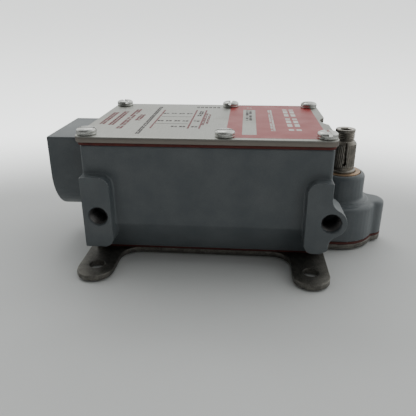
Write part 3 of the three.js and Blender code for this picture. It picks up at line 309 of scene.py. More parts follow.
brass = workedMetal("terminalBrass", (0.56, 0.40, 0.18), (0.36, 0.25, 0.11), 0.30, 0.3 * mm)
blackRubber = mouldedPlastic("blackSealRubber", (0.022, 0.022, 0.022), (0.035, 0.034, 0.033), 0.62)
ivoryPlastic = mouldedPlastic("ivorySlidePlastic", (0.62, 0.59, 0.50), (0.54, 0.50, 0.41), 0.42)
phenolic = mouldedPlastic("brownPhenolic", (0.050, 0.032, 0.024), (0.030, 0.020, 0.016), 0.38, 0.5)
groundGreen = mouldedPlastic("groundScrewGreen", (0.035, 0.20, 0.075), (0.025, 0.15, 0.06), 0.32)
print("materials made")


# small tools for meshes
def addObject(name, mesh, *materials):
    piece = bpy.data.objects.new(name, mesh)
    bpy.context.scene.collection.objects.link(piece)
    if materials:
        mesh.materials.clear()
        for material in materials:
            mesh.materials.append(material)
    return piece


def meshFrom(name, work):
    mesh = bpy.data.meshes.new(name)
    work.to_mesh(mesh)
    work.free()
    return mesh


def joinMeshes(name, meshes):
    joined = bmesh.new()
    for mesh in meshes:
        joined.from_mesh(mesh)
    return meshFrom(name, joined)


def smoothed(mesh, angle):
    mesh.shade_smooth()
    mesh.set_sharp_from_angle(angle=math.radians(angle))


def ridesWith(piece, body, replaced):
    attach(piece, body)
    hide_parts(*replaced)
    return piece


def mergedCopy(node):
    # the frame's mesh is loose triangles, so a copy has its doubles merged
    work = bmesh.new()
    work.from_mesh(nodes[node].data)
    bmesh.ops.remove_doubles(work, verts=work.verts, dist=1e-6)
    return work


def markEdges(mesh, reach=2):
    # stores an edge mask: 1 on sharp outer edges, 0 on flats and in hollows; it marks edge wear, and on the
    # casting also a painted highlight
    count = len(mesh.vertices)
    points = np.zeros(count * 3)
    mesh.vertices.foreach_get("co", points)
    points = points.reshape(-1, 3)
    pairs = np.zeros(len(mesh.edges) * 2, int)
    mesh.edges.foreach_get("vertices", pairs)
    pairs = pairs.reshape(-1, 2)
    normals = np.zeros(count * 3)
    mesh.vertex_normals.foreach_get("vector", normals)
    normals = normals.reshape(-1, 3)
    both = np.concatenate([pairs, pairs[:, ::-1]])
    neighbours = np.maximum(np.bincount(both[:, 0], minlength=count), 1)
    lengths = np.linalg.norm(points[both[:, 1]] - points[both[:, 0]], axis=1)
    meanLength = np.bincount(both[:, 0], lengths, count) / neighbours
    average = np.stack([np.bincount(both[:, 0], points[both[:, 1], k], count) for k in range(3)], 1)
    average /= neighbours[:, None]
    outward = ((points - average) * normals).sum(1) / np.maximum(meanLength, 1e-9)
    for _ in range(reach):
        outward = 0.4 * outward + 0.6 * np.bincount(both[:, 0], outward[both[:, 1]], count) / neighbours
    wear = np.clip(outward / 0.16, 0, 1)
    layer = mesh.attributes.new("edgeWearAndHighlight", "FLOAT", "POINT")
    layer.data.foreach_set("value", wear.astype(np.float32))


def evaluated(piece):
    depsgraph = bpy.context.evaluated_depsgraph_get()
    return bpy.data.meshes.new_from_object(
        piece.evaluated_get(depsgraph), preserve_all_data_layers=True, depsgraph=depsgraph)


# small tools for geometry nodes
def newTree(name, **inputs):
    tree = bpy.data.node_groups.new(name, "GeometryNodeTree")
    kinds = {float: "NodeSocketFloat", int: "NodeSocketInt", type(None): "NodeSocketMaterial"}
    tree.interface.new_socket("Geometry", in_out="INPUT", socket_type="NodeSocketGeometry")
    for label, value in inputs.items():
        socket = tree.interface.new_socket(label, in_out="INPUT", socket_type=kinds[type(value)])
        if value is not None:
            socket.default_value = value
    tree.interface.new_socket("Geometry", in_out="OUTPUT", socket_type="NodeSocketGeometry")
    source = tree.nodes.new("NodeGroupInput")
    return tree, source.outputs


def step(tree, kind, sockets=None, **settings):
    # adds a node with its settings, then fills its sockets, given by number
    node = tree.nodes.new(kind)
    for label, value in settings.items():
        setattr(node, label, value)
    for number, value in (sockets or {}).items():
        plug(tree, value, node.inputs[number])
    return node.outputs


def finishTree(tree, geometry, material):
    real = step(tree, "GeometryNodeRealizeInstances", {0: geometry})[0]
    painted = step(tree, "GeometryNodeSetMaterial", {0: real, 2: material})[0]
    tree.links.new(painted, tree.nodes.new("NodeGroupOutput").inputs[0])
    return tree


def runTree(name, tree, start, **values):
    holder = addObject(name, start)
    modifier = holder.modifiers.new(tree.name, "NODES")
    modifier.node_group = tree
    sockets = {item.name: item.identifier for item in tree.interface.items_tree if item.in_out == "INPUT"}
    for label, value in values.items():
        modifier[sockets[label]] = value
    mesh = evaluated(holder)
    holder.modifiers.remove(modifier)
    bpy.data.objects.remove(holder)
    mesh.name = name
    return mesh


def pointsAt(name, places, aims, turns=None):
    # bare points, each with the way its copy faces and how far it is turned
    mesh = bpy.data.meshes.new(name)
    mesh.from_pydata([tuple(p) for p in places], [], [])
    aim = mesh.attributes.new("aim", "FLOAT_VECTOR", "POINT")
    aim.data.foreach_set("vector", [float(c) for a in aims for c in a])
    turn = mesh.attributes.new("turn", "FLOAT", "POINT")
    turn.data.foreach_set("value", turns or [0.0] * len(places))
    return mesh


def named(tree, name, kind="FLOAT"):
    return step(tree, "GeometryNodeInputNamedAttribute", {0: name}, data_type=kind)[0]


def copiesOnPoints(tree, points, copy):
    aim = named(tree, "aim", "FLOAT_VECTOR")
    facing = step(tree, "FunctionNodeAlignRotationToVector", {2: aim}, axis="Z")[0]
    spin = step(tree, "FunctionNodeAxisAngleToRotation", {0: (0, 0, 1), 1: named(tree, "turn")})[0]
    rotation = step(tree, "FunctionNodeRotateRotation", {0: facing, 1: spin}, rotation_space="LOCAL")[0]
    return step(tree, "GeometryNodeInstanceOnPoints", {0: points, 2: copy, 5: rotation})[0]


def calc(tree, operation, a, b=0.0):
    # one sum inside a geometry tree
    return step(tree, "ShaderNodeMath", {0: a, 1: b}, operation=operation)[0]


def product(tree, *values):
    result = values[0]
    for value in values[1:]:
        result = calc(tree, "MULTIPLY", result, value)
    return result


def greater(tree, a, b):
    return step(tree, "FunctionNodeCompare", {0: a, 1: b}, data_type="FLOAT", operation="GREATER_THAN")[0]


def apart(tree):
    # x, y and z of the point itself
    return step(tree, "ShaderNodeSeparateXYZ", {0: step(tree, "GeometryNodeInputPosition")[0]})


def together(tree, x=0.0, y=0.0, z=0.0):
    return step(tree, "ShaderNodeCombineXYZ", {0: x, 1: y, 2: z})[0]


def fromAxis(tree, x, y):
    return step(tree, "ShaderNodeVectorMath", {0: together(tree, x, y, 0.0)}, operation="LENGTH")[1]


def moved(tree, geometry, z):
    return step(tree, "GeometryNodeTransform", {0: geometry, 1: together(tree, 0.0, 0.0, z)})[0]


def helix(tree, radius, length, pitch, ridge, stepsPerTurn):
    # a ridge with a four-sided section that winds round Z from z = 0 to the length
    turns = calc(tree, "DIVIDE", length, pitch)
    sizes = {0: stepsPerTurn, 1: turns, 2: radius, 3: radius, 4: length}
    spiral = step(tree, "GeometryNodeCurveSpiral", sizes)[0]
    upright = step(tree, "GeometryNodeSetCurveNormal", {0: spiral}, mode="Z_UP")[0]
    section = step(tree, "GeometryNodeCurvePrimitiveCircle", {0: 4, 4: ridge}, mode="RADIUS")[0]
    return step(tree, "GeometryNodeCurveToMesh", {0: upright, 1: section, 3: True})[0]


# outlines and plates
def levelLoops(node, height):
    # the outlines of a node's flat face at this height, the outer one first, each as a list of (x, y)
    work = mergedCopy(node)
    flat = [f for f in work.faces if all(abs(v.co.z - height) < 2e-6 for v in f.verts)]
    inside = set(flat)
    after = {}
    for face in flat:
        for loop in face.loops:
            if sum(other in inside for other in loop.edge.link_faces) == 1:
                after[loop.vert.index] = loop.link_loop_next.vert.index
    work.verts.ensure_lookup_table()
    loops = []
    while after:
        first, current = next(iter(after.items()))
        chain = [first]
        del after[first]
        while current != first:
            chain.append(current)
            current = after.pop(current)
        loops.append([work.verts[i].co.xy.copy() for i in chain])
    work.free()
    loops.sort(key=lambda points: -abs(signedArea(points)))
    return [points if signedArea(points) > 0 else points[::-1] for points in loops]


def signedArea(points):
    return sum(a.x * b.y - b.x * a.y for a, b in zip(points, points[1:] + points[:1])) / 2


def insetLoop(points, distance):
    # moves every side of a closed outline inwards by this distance, outwards if it is negative
    result = []
    for before, here, after in zip(points[-1:] + points[:-1], points, points[1:] + points[:1]):
        a, b = (here - before).normalized(), (after - here).normalized()
        first, second = Vector((-a.y, a.x)), Vector((-b.y, b.x))
        middle = (first + second).normalized()
        result.append(here + middle * distance / max(0.5, middle.dot(first)))
    return result


def tidyLoop(points, shortest=0.02 * mm):
    return [b for a, b in zip(points[-1:] + points[:-1], points) if (a - b).length > shortest]


def roundedRows(low, high, edge, steps=3):
    # (height, inset) rows of a plate's side, with a rounded edge above and below
    quarter = [math.pi / 2 * i / steps for i in range(steps + 1)]
    rows = [(low + edge * (1 - math.sin(a)), edge * (1 - math.cos(a))) for a in reversed(quarter)]
    return rows + [(high - edge * (1 - math.sin(a)), edge * (1 - math.cos(a))) for a in quarter]


def plateMesh(name, outer, holes, rows, holeRows=None):
    # a plate from its outline and holes; the rows give its side from bottom to top
    work = bmesh.new()
    rims = []
    for points, isHole in [(outer, False)] + [(hole, True) for hole in holes]:
        rings = []
        for height, inset in (holeRows or rows) if isHole else rows:
            placed = insetLoop(points, -inset if isHole else inset)
            rings.append([work.verts.new((p.x, p.y, height)) for p in placed])
        count = len(points)
        for lower, upper in zip(rings, rings[1:]):
            for i in range(count):
                j = (i + 1) % count
                quad = [lower[i], lower[j], upper[j], upper[i]]
                work.faces.new(quad[::-1] if isHole else quad)
        rims.append((rings[0], rings[-1]))
    for level in (0, 1):
        loops = [pair[level] for pair in rims]
        flat = [vert for loop in loops for vert in loop]
        for triangle in tessellate_polygon([[v.co.copy() for v in loop] for loop in loops]):
            face = work.faces.new([flat[i] for i in triangle])
            face.normal_update()
            if (face.normal.z > 0) != (level == 1):
                face.normal_flip()
    bmesh.ops.recalc_face_normals(work, faces=work.faces)
    return meshFrom(name, work)


def turnedMesh(name, profile, centre=(0, 0), steps=72):
    # a turned body from (radius, height) points, either from axis to axis or round a closed ring
    work = bmesh.new()
    rings = []
    for radius, height in profile:
        if radius < 1e-9:
            rings.append([work.verts.new((*centre, height))])
            continue
        rings.append([work.verts.new((
            centre[0] + radius * math.cos(2 * math.pi * i / steps),
            centre[1] + radius * math.sin(2 * math.pi * i / steps), height)) for i in range(steps)])
    pairs = list(zip(rings, rings[1:]))
    if profile[0][0] > 1e-9:
        pairs.append((rings[-1], rings[0]))
    for lower, upper in pairs:
        for i in range(steps):
            j = (i + 1) % steps
            around = ((lower, i), (lower, j), (upper, j), (upper, i))
            corners = [ring[k % len(ring)] for ring, k in around]
            unique = list(dict.fromkeys(corners))
            if len(unique) > 2:
                work.faces.new(unique)
    bmesh.ops.recalc_face_normals(work, faces=work.faces)
    return meshFrom(name, work)


# the casting
casting = dict(grain=0.42 * mm, quickGrain=0.7 * mm, passes=2, faces=190000)


def makeCasting():
    size = casting
    piece = addObject("casting", meshFrom("casting", mergedCopy("housing")), paint)
    grain = piece.modifiers.new("grain", "REMESH")
    grain.mode = "VOXEL"
    grain.voxel_size = size["grain"]
    soften = piece.modifiers.new("soften", "SMOOTH")
    soften.factor = 0.5
    soften.iterations = size["passes"]
    solid = evaluated(piece)
    piece.modifiers.clear()
    piece.data = solid
    thin = piece.modifiers.new("thin", "DECIMATE")
    thin.ratio = min(1, size["faces"] / (2 * len(solid.polygons)))
    final = evaluated(piece)
    piece.modifiers.clear()
    piece.data = final
    smoothed(final, 50)
    markEdges(final)
    final.materials.clear()
    final.materials.append(paint)
    print("casting has", len(final.polygons), "faces")
    return ridesWith(piece, "housing", ["housing"])


makeCasting()


# threads cut in the casting
sideHoles = dict(
    low=26.6 * mm, atHub=-49.65 * mm, atHead=59.1 * mm, radius=4.45 * mm, pitch=1.5875 * mm, ridge=0.62 * mm,
    start=0.9 * mm, length=11.2 * mm,
)
conduitThread = dict(
    radius=12.4 * mm, height=39.5 * mm, pitch=1.814 * mm, ridge=0.75 * mm, start=3 * mm, length=16 * mm,
)


def threadTree():
    tree, given = newTree(
        "insideThread", Radius=4.2 * mm, Length=11.2 * mm, Pitch=1.5875 * mm, Ridge=0.6 * mm, Metal=None)
    coil = helix(tree, given["Radius"], given["Length"], given["Pitch"], given["Ridge"], 28)
    return finishTree(tree, copiesOnPoints(tree, given["Geometry"], coil), given["Metal"])


def makeThreads():
    tree = threadTree()
    holes = sideHoles
    face = castHigh.y - holes["start"]
    places = [(x, side * face, holes["low"]) for x in (holes["atHub"], holes["atHead"]) for side in (-1, 1)]
    aims = [(0, -side, 0) for x in (0, 1) for side in (-1, 1)]
    mouths = pointsAt("sideHolePoints", places, aims)
    # the side-hole threads carry the near-black painted shade of the holes
    inSides = runTree("sideThreads", tree, mouths, Radius=holes["radius"], Length=holes["length"],
                      Pitch=holes["pitch"], Ridge=holes["ridge"], Metal=threadMetalPaintedShade)
    entry = conduitThread
    start = (castLow.x + entry["start"], 0, entry["height"])
    mouth = pointsAt("conduitPoint", [start], [(1, 0, 0)])
    inHub = runTree("conduitThread", tree, mouth, Radius=entry["radius"], Length=entry["length"],
                    Pitch=entry["pitch"], Ridge=entry["ridge"], Metal=paint)
    for name, mesh in (("sideHoleThreads", inSides), ("conduitThread", inHub)):
        smoothed(mesh, 30)
        markEdges(mesh, 0)
        piece = addObject(name, mesh)
        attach(piece, "housing")


makeThreads()
print("threads cut")


# cover, gaskets and base plate
coverPlate = dict(edge=0.28 * mm, gasketEdge=0.2 * mm)
basePlate = dict(edge=0.45 * mm, gasketEdge=0.2 * mm)


def makePlate(name, node, material, edge, height):
    loops = [tidyLoop(points) for points in levelLoops(node, height)]
    low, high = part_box(node)
    rows = roundedRows(low.z, high.z, edge)
    holeRows = roundedRows(low.z, high.z, edge * 0.5, 2)
    mesh = plateMesh(name, loops[0], loops[1:], rows, holeRows)
    smoothed(mesh, 20)
    piece = addObject(name, mesh, material)
    return ridesWith(piece, "housing", [node])


def makePlates():
    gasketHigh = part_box("front_cover_gasket")[1].z
    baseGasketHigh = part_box("base_gasket")[1].z
    makePlate("coverPlate", "front_cover", coverSteel, coverPlate["edge"], coverHigh.z)
    makePlate("coverGasket", "front_cover_gasket", coverGasketRubber,
              coverPlate["gasketEdge"], gasketHigh)
    makePlate("baseGasket", "base_gasket", baseGasketRubber,
              basePlate["gasketEdge"], baseGasketHigh)
    makePlate("basePlate", "base_plate", plateSteel, basePlate["edge"], plateHigh.z)


makePlates()
print("plates made")


# print on the cover: a red panel with a bare window, ruled lines and rows of plain marks
coverPrint = dict(
    thickness=0.03 * mm, lift=0.01 * mm, ruleWidth=0.9 * mm, thinRuleWidth=0.5 * mm,
    panel=(9.7, 55.7, -38.8, 40.5), panelCorner=0.8, window=(17.2, 23.9, -32.9, 26.7),
)
# each row, in mm but for the share: place across the cover, low end, high end, size across,
# share of it that is filled, and the length of a mark
redRows = [
    (-53.6, -15.6, 14.4, 3.1, 0.92, 1.1),
    (-48.5, -17.2, 17.4, 3.1, 0.92, 1.1),
    (-42.6, -24.5, 24.6, 3.1, 0.92, 1.1),
    (-37.5, -5.8, 9.5, 3.1, 0.92, 1.1),
    (-2.6, -14.3, 14.9, 1.2, 0.8, 0.8),
    (-0.8, -11.5, 12.0, 1.2, 0.8, 0.8),
]
darkRows = [(-31.3, -34.4, 32.6, 2.1, 0.92, 0.8)]
smallRows = [
    (x, y - 1.3, y + 1.3, 3.2, 0.92, 0.65)
    for y, cells in ((13.4, (-25.3, -21.0, -16.6, -12.3)), (-5.4, (-25.3, -21.0, -16.6, -12.3, -6.5)),
                     (-18.2, (-16.4, -12.3, -6.4)))
    for x in cells
] + [(-6.4, 7.1, 10.4, 2.4, 0.9, 0.7), (-6.0, 12.0, 21.0, 2.4, 0.88, 0.7)]
topRows = [(x, 30.6, 34.0, 1.7, 0.92, 0.6) for x in (-9.4, -7.0, -4.6, -2.2, 0.2, 2.6)]
paleRows = [(31.9, -24.7, 26.7, 2.3, 0.82, 0.75), (20.5, 30.6, 32.8, 3.2, 0.8, 0.6)]
windowRows = [(20.3, -2.0, 24.4, 3.4, 0.8, 1.2)]
bigBlocks = [(42.3, -24.5, 33.0, 6.0, 7)]
redRules = [(-27.5, -22.8, 23.2), (-9.2, -22.3, 23.8), (-3.7, -22.2, 23.7)]
thinRules = [(5.0, -26.6, -10.3), (-12.0, -26.9, -10.3)]


def slabMesh(name, slabs, level, ink):
    # thin printed blocks on the cover; their edges are in mm, and the level counts layers of ink
    low = coverHigh.z + coverPrint["lift"] + level * coverPrint["thickness"]
    high = low + coverPrint["thickness"]
    work = bmesh.new()
    for x0, x1, y0, y1 in slabs:
        corners = ((x0, y0), (x1, y0), (x1, y1), (x0, y1))
        verts = [work.verts.new((x * mm, y * mm, z)) for z in (low, high) for x, y in corners]
        for face in ((3, 2, 1, 0), (4, 5, 6, 7), (0, 1, 5, 4), (1, 2, 6, 5), (2, 3, 7, 6), (3, 0, 4, 7)):
            work.faces.new([verts[i] for i in face])
    mesh = meshFrom(name, work)
    mesh.materials.append(ink)
    return mesh


def chance(tree, low, seed):
    # a random number from low to 1, another at each point
    return step(tree, "FunctionNodeRandomValue", {2: low, 3: 1.0, 8: seed}, data_type="FLOAT")[1]


def markTree():
    # marks of uneven length along Y with gaps between, cut from short blocks laid end to end
    tree, given = newTree(
        "printedMarks", Across=1.0 * mm, Length=0.8 * mm, Height=0.03 * mm, Filled=0.85, Seed=3, Ink=None)
    dropped = greater(tree, chance(tree, 0.0, given["Seed"]), given["Filled"])
    kept = step(tree, "GeometryNodeDeleteGeometry", {0: given["Geometry"], 1: dropped})[0]
    sizes = together(tree, given["Across"], given["Length"], given["Height"])
    block = step(tree, "GeometryNodeMeshCube", {0: sizes})[0]
    long = chance(tree, 0.6, calc(tree, "ADD", given["Seed"], 7))
    wide = chance(tree, 0.8, calc(tree, "ADD", given["Seed"], 11))
    stretch = together(tree, wide, long, 1.0)
    marks = step(tree, "GeometryNodeInstanceOnPoints", {0: kept, 2: block, 6: stretch})[0]
    return finishTree(tree, marks, given["Ink"])


def markRows(tree, name, rows, ink, level, seed):
    # each row is a pair of half rows, so that its marks break up across as well as along
    meshes = []
    height = coverHigh.z + coverPrint["lift"] + (level + 0.5) * coverPrint["thickness"]
    for number, (x, low, high, across, filled, length) in enumerate(rows):
        for half in (-1, 1):
            count = max(2, round((high - low) / length))
            pitch = (high - low) / count
            along = [low + pitch * (i + 0.5) for i in range(count)]
            places = [((x + half * across * 0.26) * mm, y * mm, height) for y in along]
            points = pointsAt(name + "Points", places, [(0, 0, 1)] * count)
            meshes.append(runTree(
                name, tree, points, Across=across * 0.46 * mm, Length=pitch * mm,
                Height=coverPrint["thickness"], Filled=filled, Seed=seed + 2 * number + (half > 0), Ink=ink))
    return meshes


def panelMesh():
    # the red panel: rounded corners, and a bare window
    size = coverPrint
    x0, x1, y0, y1 = (edge * mm for edge in size["panel"])
    corner = size["panelCorner"] * mm
    right, left, far, near = x1 - corner, x0 + corner, y1 - corner, y0 + corner
    outline = []
    for quarter, (x, y) in enumerate(((right, far), (left, far), (left, near), (right, near))):
        for i in range(6):
            angle = math.pi / 2 * (quarter + i / 5)
            outline.append(Vector((x + corner * math.cos(angle), y + corner * math.sin(angle))))
    a, b, c, d = (edge * mm for edge in size["window"])
    window = [Vector(p) for p in ((a, c), (b, c), (b, d), (a, d))]
    low = coverHigh.z + size["lift"]
    return plateMesh("redPanel", outline, [window], [(low, 0), (low + size["thickness"], 0)])


def bigSlabs():
    # every third big block is a short one, and each is parted along its middle
    slabs = []
    for x, low, high, across, count in bigBlocks:
        pitch = (high - low) / count
        for i in range(count):
            start = low + pitch * (i + 0.12)
            end = low + pitch * (i + (0.86 if i % 3 else 0.5))
            slabs.append((x - across / 2, x - across * 0.1, start, end))
            slabs.append((x + across * 0.1, x + across / 2, start, end))
    return slabs


def makePrint():
    half, thinHalf = coverPrint["ruleWidth"] / mm / 2, coverPrint["thinRuleWidth"] / mm / 2
    red = [(x - half, x + half, low, high) for x, low, high in redRules]
    thin = [(low, high, y - thinHalf, y + thinHalf) for y, low, high in thinRules]
    tree = markTree()
    redMeshes = markRows(tree, "redMarks", redRows, redMarkInk, 0, 20)
    redMeshes.append(slabMesh("redRules", red, 0, redMarkInk))
    greyRows = darkRows + smallRows + topRows + windowRows
    greyMeshes = markRows(tree, "greyMarks", greyRows, greyMarkInk, 0, 60)
    greyMeshes.append(slabMesh("thinRules", thin, 0, greyMarkInk))
    paleMeshes = markRows(tree, "paleMarks", paleRows, paleMarkInk, 1, 140)
    paleMeshes.append(slabMesh("paleBlocks", bigSlabs(), 1, paleMarkInk))
    pieces = [
        addObject("redPanel", panelMesh(), redPanelInk),
        addObject("redPrint", joinMeshes("redPrint", redMeshes), redMarkInk),
        addObject("greyPrint", joinMeshes("greyPrint", greyMeshes), greyMarkInk),
        addObject("palePrint", joinMeshes("palePrint", paleMeshes), paleMarkInk),
    ]
    for piece in pieces:
        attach(piece, "housing")


makePrint()
print("cover printed")


# screws
def screwTree():
    # a slotted screw with a low crowned head and a threaded shank, copied to every point
    tree, given = newTree(
        "slottedScrews", HeadRadius=4.4 * mm, HeadHeight=3.1 * mm, Crown=1.3 * mm, RimRound=0.06,
        Groove=0.022, SlotWidth=1.2 * mm, SlotDepth=1.3 * mm, ShankRadius=2.1 * mm, ShankLength=14 * mm,
        Pitch=0.8 * mm, Metal=None)
    radius, height, pitch = given["HeadRadius"], given["HeadHeight"], given["Pitch"]
    shankRadius, shankLength = given["ShankRadius"], given["ShankLength"]
    sizes = {0: 56, 1: 16, 2: 8, 3: radius, 4: height}
    head = step(tree, "GeometryNodeMeshCylinder", sizes, fill_type="TRIANGLE_FAN")[0]
    head = moved(tree, head, calc(tree, "DIVIDE", height, 2.0))
    x, y, z = apart(tree)
    level = calc(tree, "DIVIDE", z, height)
    reach = calc(tree, "DIVIDE", fromAxis(tree, x, y), radius)
    # the crown falls away evenly to the rim, and the top of the rim is rounded in
    drop = product(tree, calc(tree, "POWER", reach, 6.0), level, given["Crown"])
    nearTop = calc(tree, "POWER", level, 9.0)
    nearFoot = calc(tree, "POWER", calc(tree, "SUBTRACT", 1.0, level), 9.0)
    pull = product(tree, calc(tree, "ADD", nearTop, product(tree, nearFoot, 0.5)), given["RimRound"])
    # a fine groove parts the head from its collar
    fromGroove = calc(tree, "DIVIDE", calc(tree, "SUBTRACT", level, 0.34), 0.06)
    fade = calc(tree, "ADD", 1.0, calc(tree, "POWER", fromGroove, 4.0))
    groove = calc(tree, "DIVIDE", given["Groove"], fade)
    keep = calc(tree, "SUBTRACT", calc(tree, "SUBTRACT", 1.0, pull), groove)
    place = together(tree, product(tree, x, keep), product(tree, y, keep), calc(tree, "SUBTRACT", z, drop))
    shaped = step(tree, "GeometryNodeSetPosition", {0: head, 2: place})[0]
    slotLength, slotTall = product(tree, radius, 3.0), product(tree, given["SlotDepth"], 2.0)
    cutter = together(tree, slotLength, given["SlotWidth"], slotTall)
    slot = moved(tree, step(tree, "GeometryNodeMeshCube", {0: cutter})[0], height)
    cutHead = step(
        tree, "GeometryNodeMeshBoolean", {0: shaped, 1: slot}, operation="DIFFERENCE", solver="EXACT")[0]
    shank = step(tree, "GeometryNodeMeshCylinder", {0: 32, 1: 1, 2: 1, 3: shankRadius, 4: shankLength})[0]
    shank = moved(tree, shank, product(tree, shankLength, -0.5))
    coilRadius = calc(tree, "SUBTRACT", shankRadius, product(tree, pitch, 0.35))
    coil = helix(tree, coilRadius, product(tree, shankLength, 0.86), pitch, product(tree, pitch, 0.45), 16)
    coil = moved(tree, coil, product(tree, shankLength, -0.95))
    # the shank is drawn in to the foot of its thread
    thinShank = step(tree, "GeometryNodeTransform", {0: shank, 3: (0.86, 0.86, 1.0)})[0]
    whole = tree.nodes.new("GeometryNodeJoinGeometry")
    for part in (cutHead, thinShank, coil):
        tree.links.new(part, whole.inputs[0])
    return finishTree(tree, copiesOnPoints(tree, given["Geometry"], whole.outputs[0]), given["Metal"])


coverScrews = dict(
    headHeight=3.05 * mm, crown=0.62 * mm, slotWidth=1.6 * mm, slotDepth=1.45 * mm, pitch=0.85 * mm,
    shank=1.7 * mm, turns=[5, 118, 5, 84, 98, 28],
)
terminalScrews = dict(
    headHeight=2.1 * mm, crown=0.7 * mm, slotWidth=0.9 * mm, slotDepth=0.95 * mm, pitch=0.6 * mm,
    shank=1.6 * mm, turns=[17 * i for i in range(8)],
)
blockScrews = dict(terminalScrews, shank=1.7 * mm, turns=[30, 75])
groundScrews = dict(terminalScrews, shank=1.7 * mm, turns=[50])
guideScrews = dict(terminalScrews, shank=1.7 * mm, turns=[20, 95])


def screwSet(tree, name, owners, metal, size, aim=1):
    # one slotted screw in place of each owner; the turns say which way each slot points, in degrees
    boxes = [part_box(owner) for owner in owners]
    places = []
    for low, high in boxes:
        seat = high.z - size["headHeight"] if aim > 0 else low.z + size["headHeight"]
        places.append(((low.x + high.x) / 2, (low.y + high.y) / 2, seat))
    low, high = boxes[0]
    length = high.z - low.z - size["headHeight"]
    turns = [math.radians(turn) for turn in size["turns"]]
    points = pointsAt(name + "Points", places, [(0, 0, aim)] * len(places), turns)
    mesh = runTree(
        name, tree, points, HeadRadius=(high.x - low.x) / 2, HeadHeight=size["headHeight"],
        Crown=size["crown"], SlotWidth=size["slotWidth"], SlotDepth=size["slotDepth"],
        ShankRadius=size["shank"], ShankLength=length, Pitch=size["pitch"], Metal=metal)
    smoothed(mesh, 36)
    markEdges(mesh, 0)
    return ridesWith(addObject(name, mesh), "housing", owners)


def numbered(name, count):
    return [f"{name}_{i}" for i in range(1, count + 1)]


def makeScrews():
    tree = screwTree()
    screwSet(tree, "coverScrews", numbered("cover_screw", 6), screwSteel, coverScrews)
    screwSet(tree, "terminalScrews", numbered("terminal_screw", 8), brass, terminalScrews)
    screwSet(
        tree, "contactBlockScrews", numbered("contact_block_screw", 2), pinSteel, blockScrews)
    screwSet(tree, "groundScrew", ["ground_screw"], groundGreen, groundScrews)
    screwSet(tree, "guideScrews", numbered("guide_screw", 2), pinSteel, guideScrews, aim=-1)


makeScrews()
print("screws driven")


# lever shaft
leverShaft = dict(
    tail=4.0, journal=7.1, seat=6.35, undercut=4.6, threadBlank=4.86, lip=5.05, flatHalf=3.0,
    teeth=36, toothDepth=0.26, lead=17.0, knurlLow=40.7, knurlHigh=52.5,
    threadPitch=0.95, threadDepth=0.38, threadLow=55.0, threadHigh=59.25, socketAcross=5.6, socketDepth=5.0,
    slotWidth=0.85, slotFootWidth=1.6, slotDepth=2.6, slotLow=41.9, slotStep=46.2, slotHigh=53.9,
)


def shaftProfile():
    # (height, radius, rows to the next point), in mm, from the tail up to the lip of the socket
    size = leverShaft
    tail, journal, seat = size["tail"], size["journal"], size["seat"]
    neck, blank, lip = size["undercut"], size["threadBlank"], size["lip"]
    return [
        (4.7, tail - 0.4, 2), (5.1, tail, 2), (5.25, tail, 1),
        (5.26, tail - 1, 1), (6.35, tail - 1, 1), (6.36, tail, 6),
        (18.6, tail, 1), (18.7, journal - 0.4, 2), (19.1, journal, 8),
        (31.7, journal, 1), (31.75, journal - 1, 1), (33.85, journal - 1, 1), (33.9, journal, 6),
        (38.65, journal, 4), (38.95, journal - 0.12, 2), (39.15, journal - 0.45, 2),
        (39.35, seat - 0.1, 2), (40.4, seat - 0.1, 3), (40.8, seat, 96),
        (52.3, seat, 6), (52.8, seat - 0.1, 8),
        (54.2, 5.25, 3), (54.55, neck + 0.05, 4), (54.9, neck, 3), (55.15, blank, 70), (58.85, blank, 4),
        (59.05, lip, 6), (59.75, lip, 5), (60.1, lip - 0.2, 3), (60.2, lip - 0.6, 1),
    ]


def shaftRows():
    rows = []
    profile = shaftProfile()
    for (z0, r0, count), (z1, r1, _) in zip(profile, profile[1:]):
        rows += [(z0 + (z1 - z0) * i / count, r0 + (r1 - r0) * i / count) for i in range(count)]
    return rows + [profile[-1][:2]]


def shaftAngles(steps=380):
    # even steps round the shaft, closer together at both sides of the drift slot
    size = leverShaft
    slotAt = -math.pi / 2
    edges = [size["slotWidth"] / 2, size["slotFootWidth"] / 2]
    extra = []
    for half in edges:
        for side in (-1, 1):
            middle = slotAt + side * half / size["seat"]
            extra += [middle - 0.004, middle + 0.004]
    even = [-math.pi + 2 * math.pi * i / steps for i in range(steps)]
    return sorted([a for a in even if all(abs(a - e) > 0.004 for e in extra)] + extra)


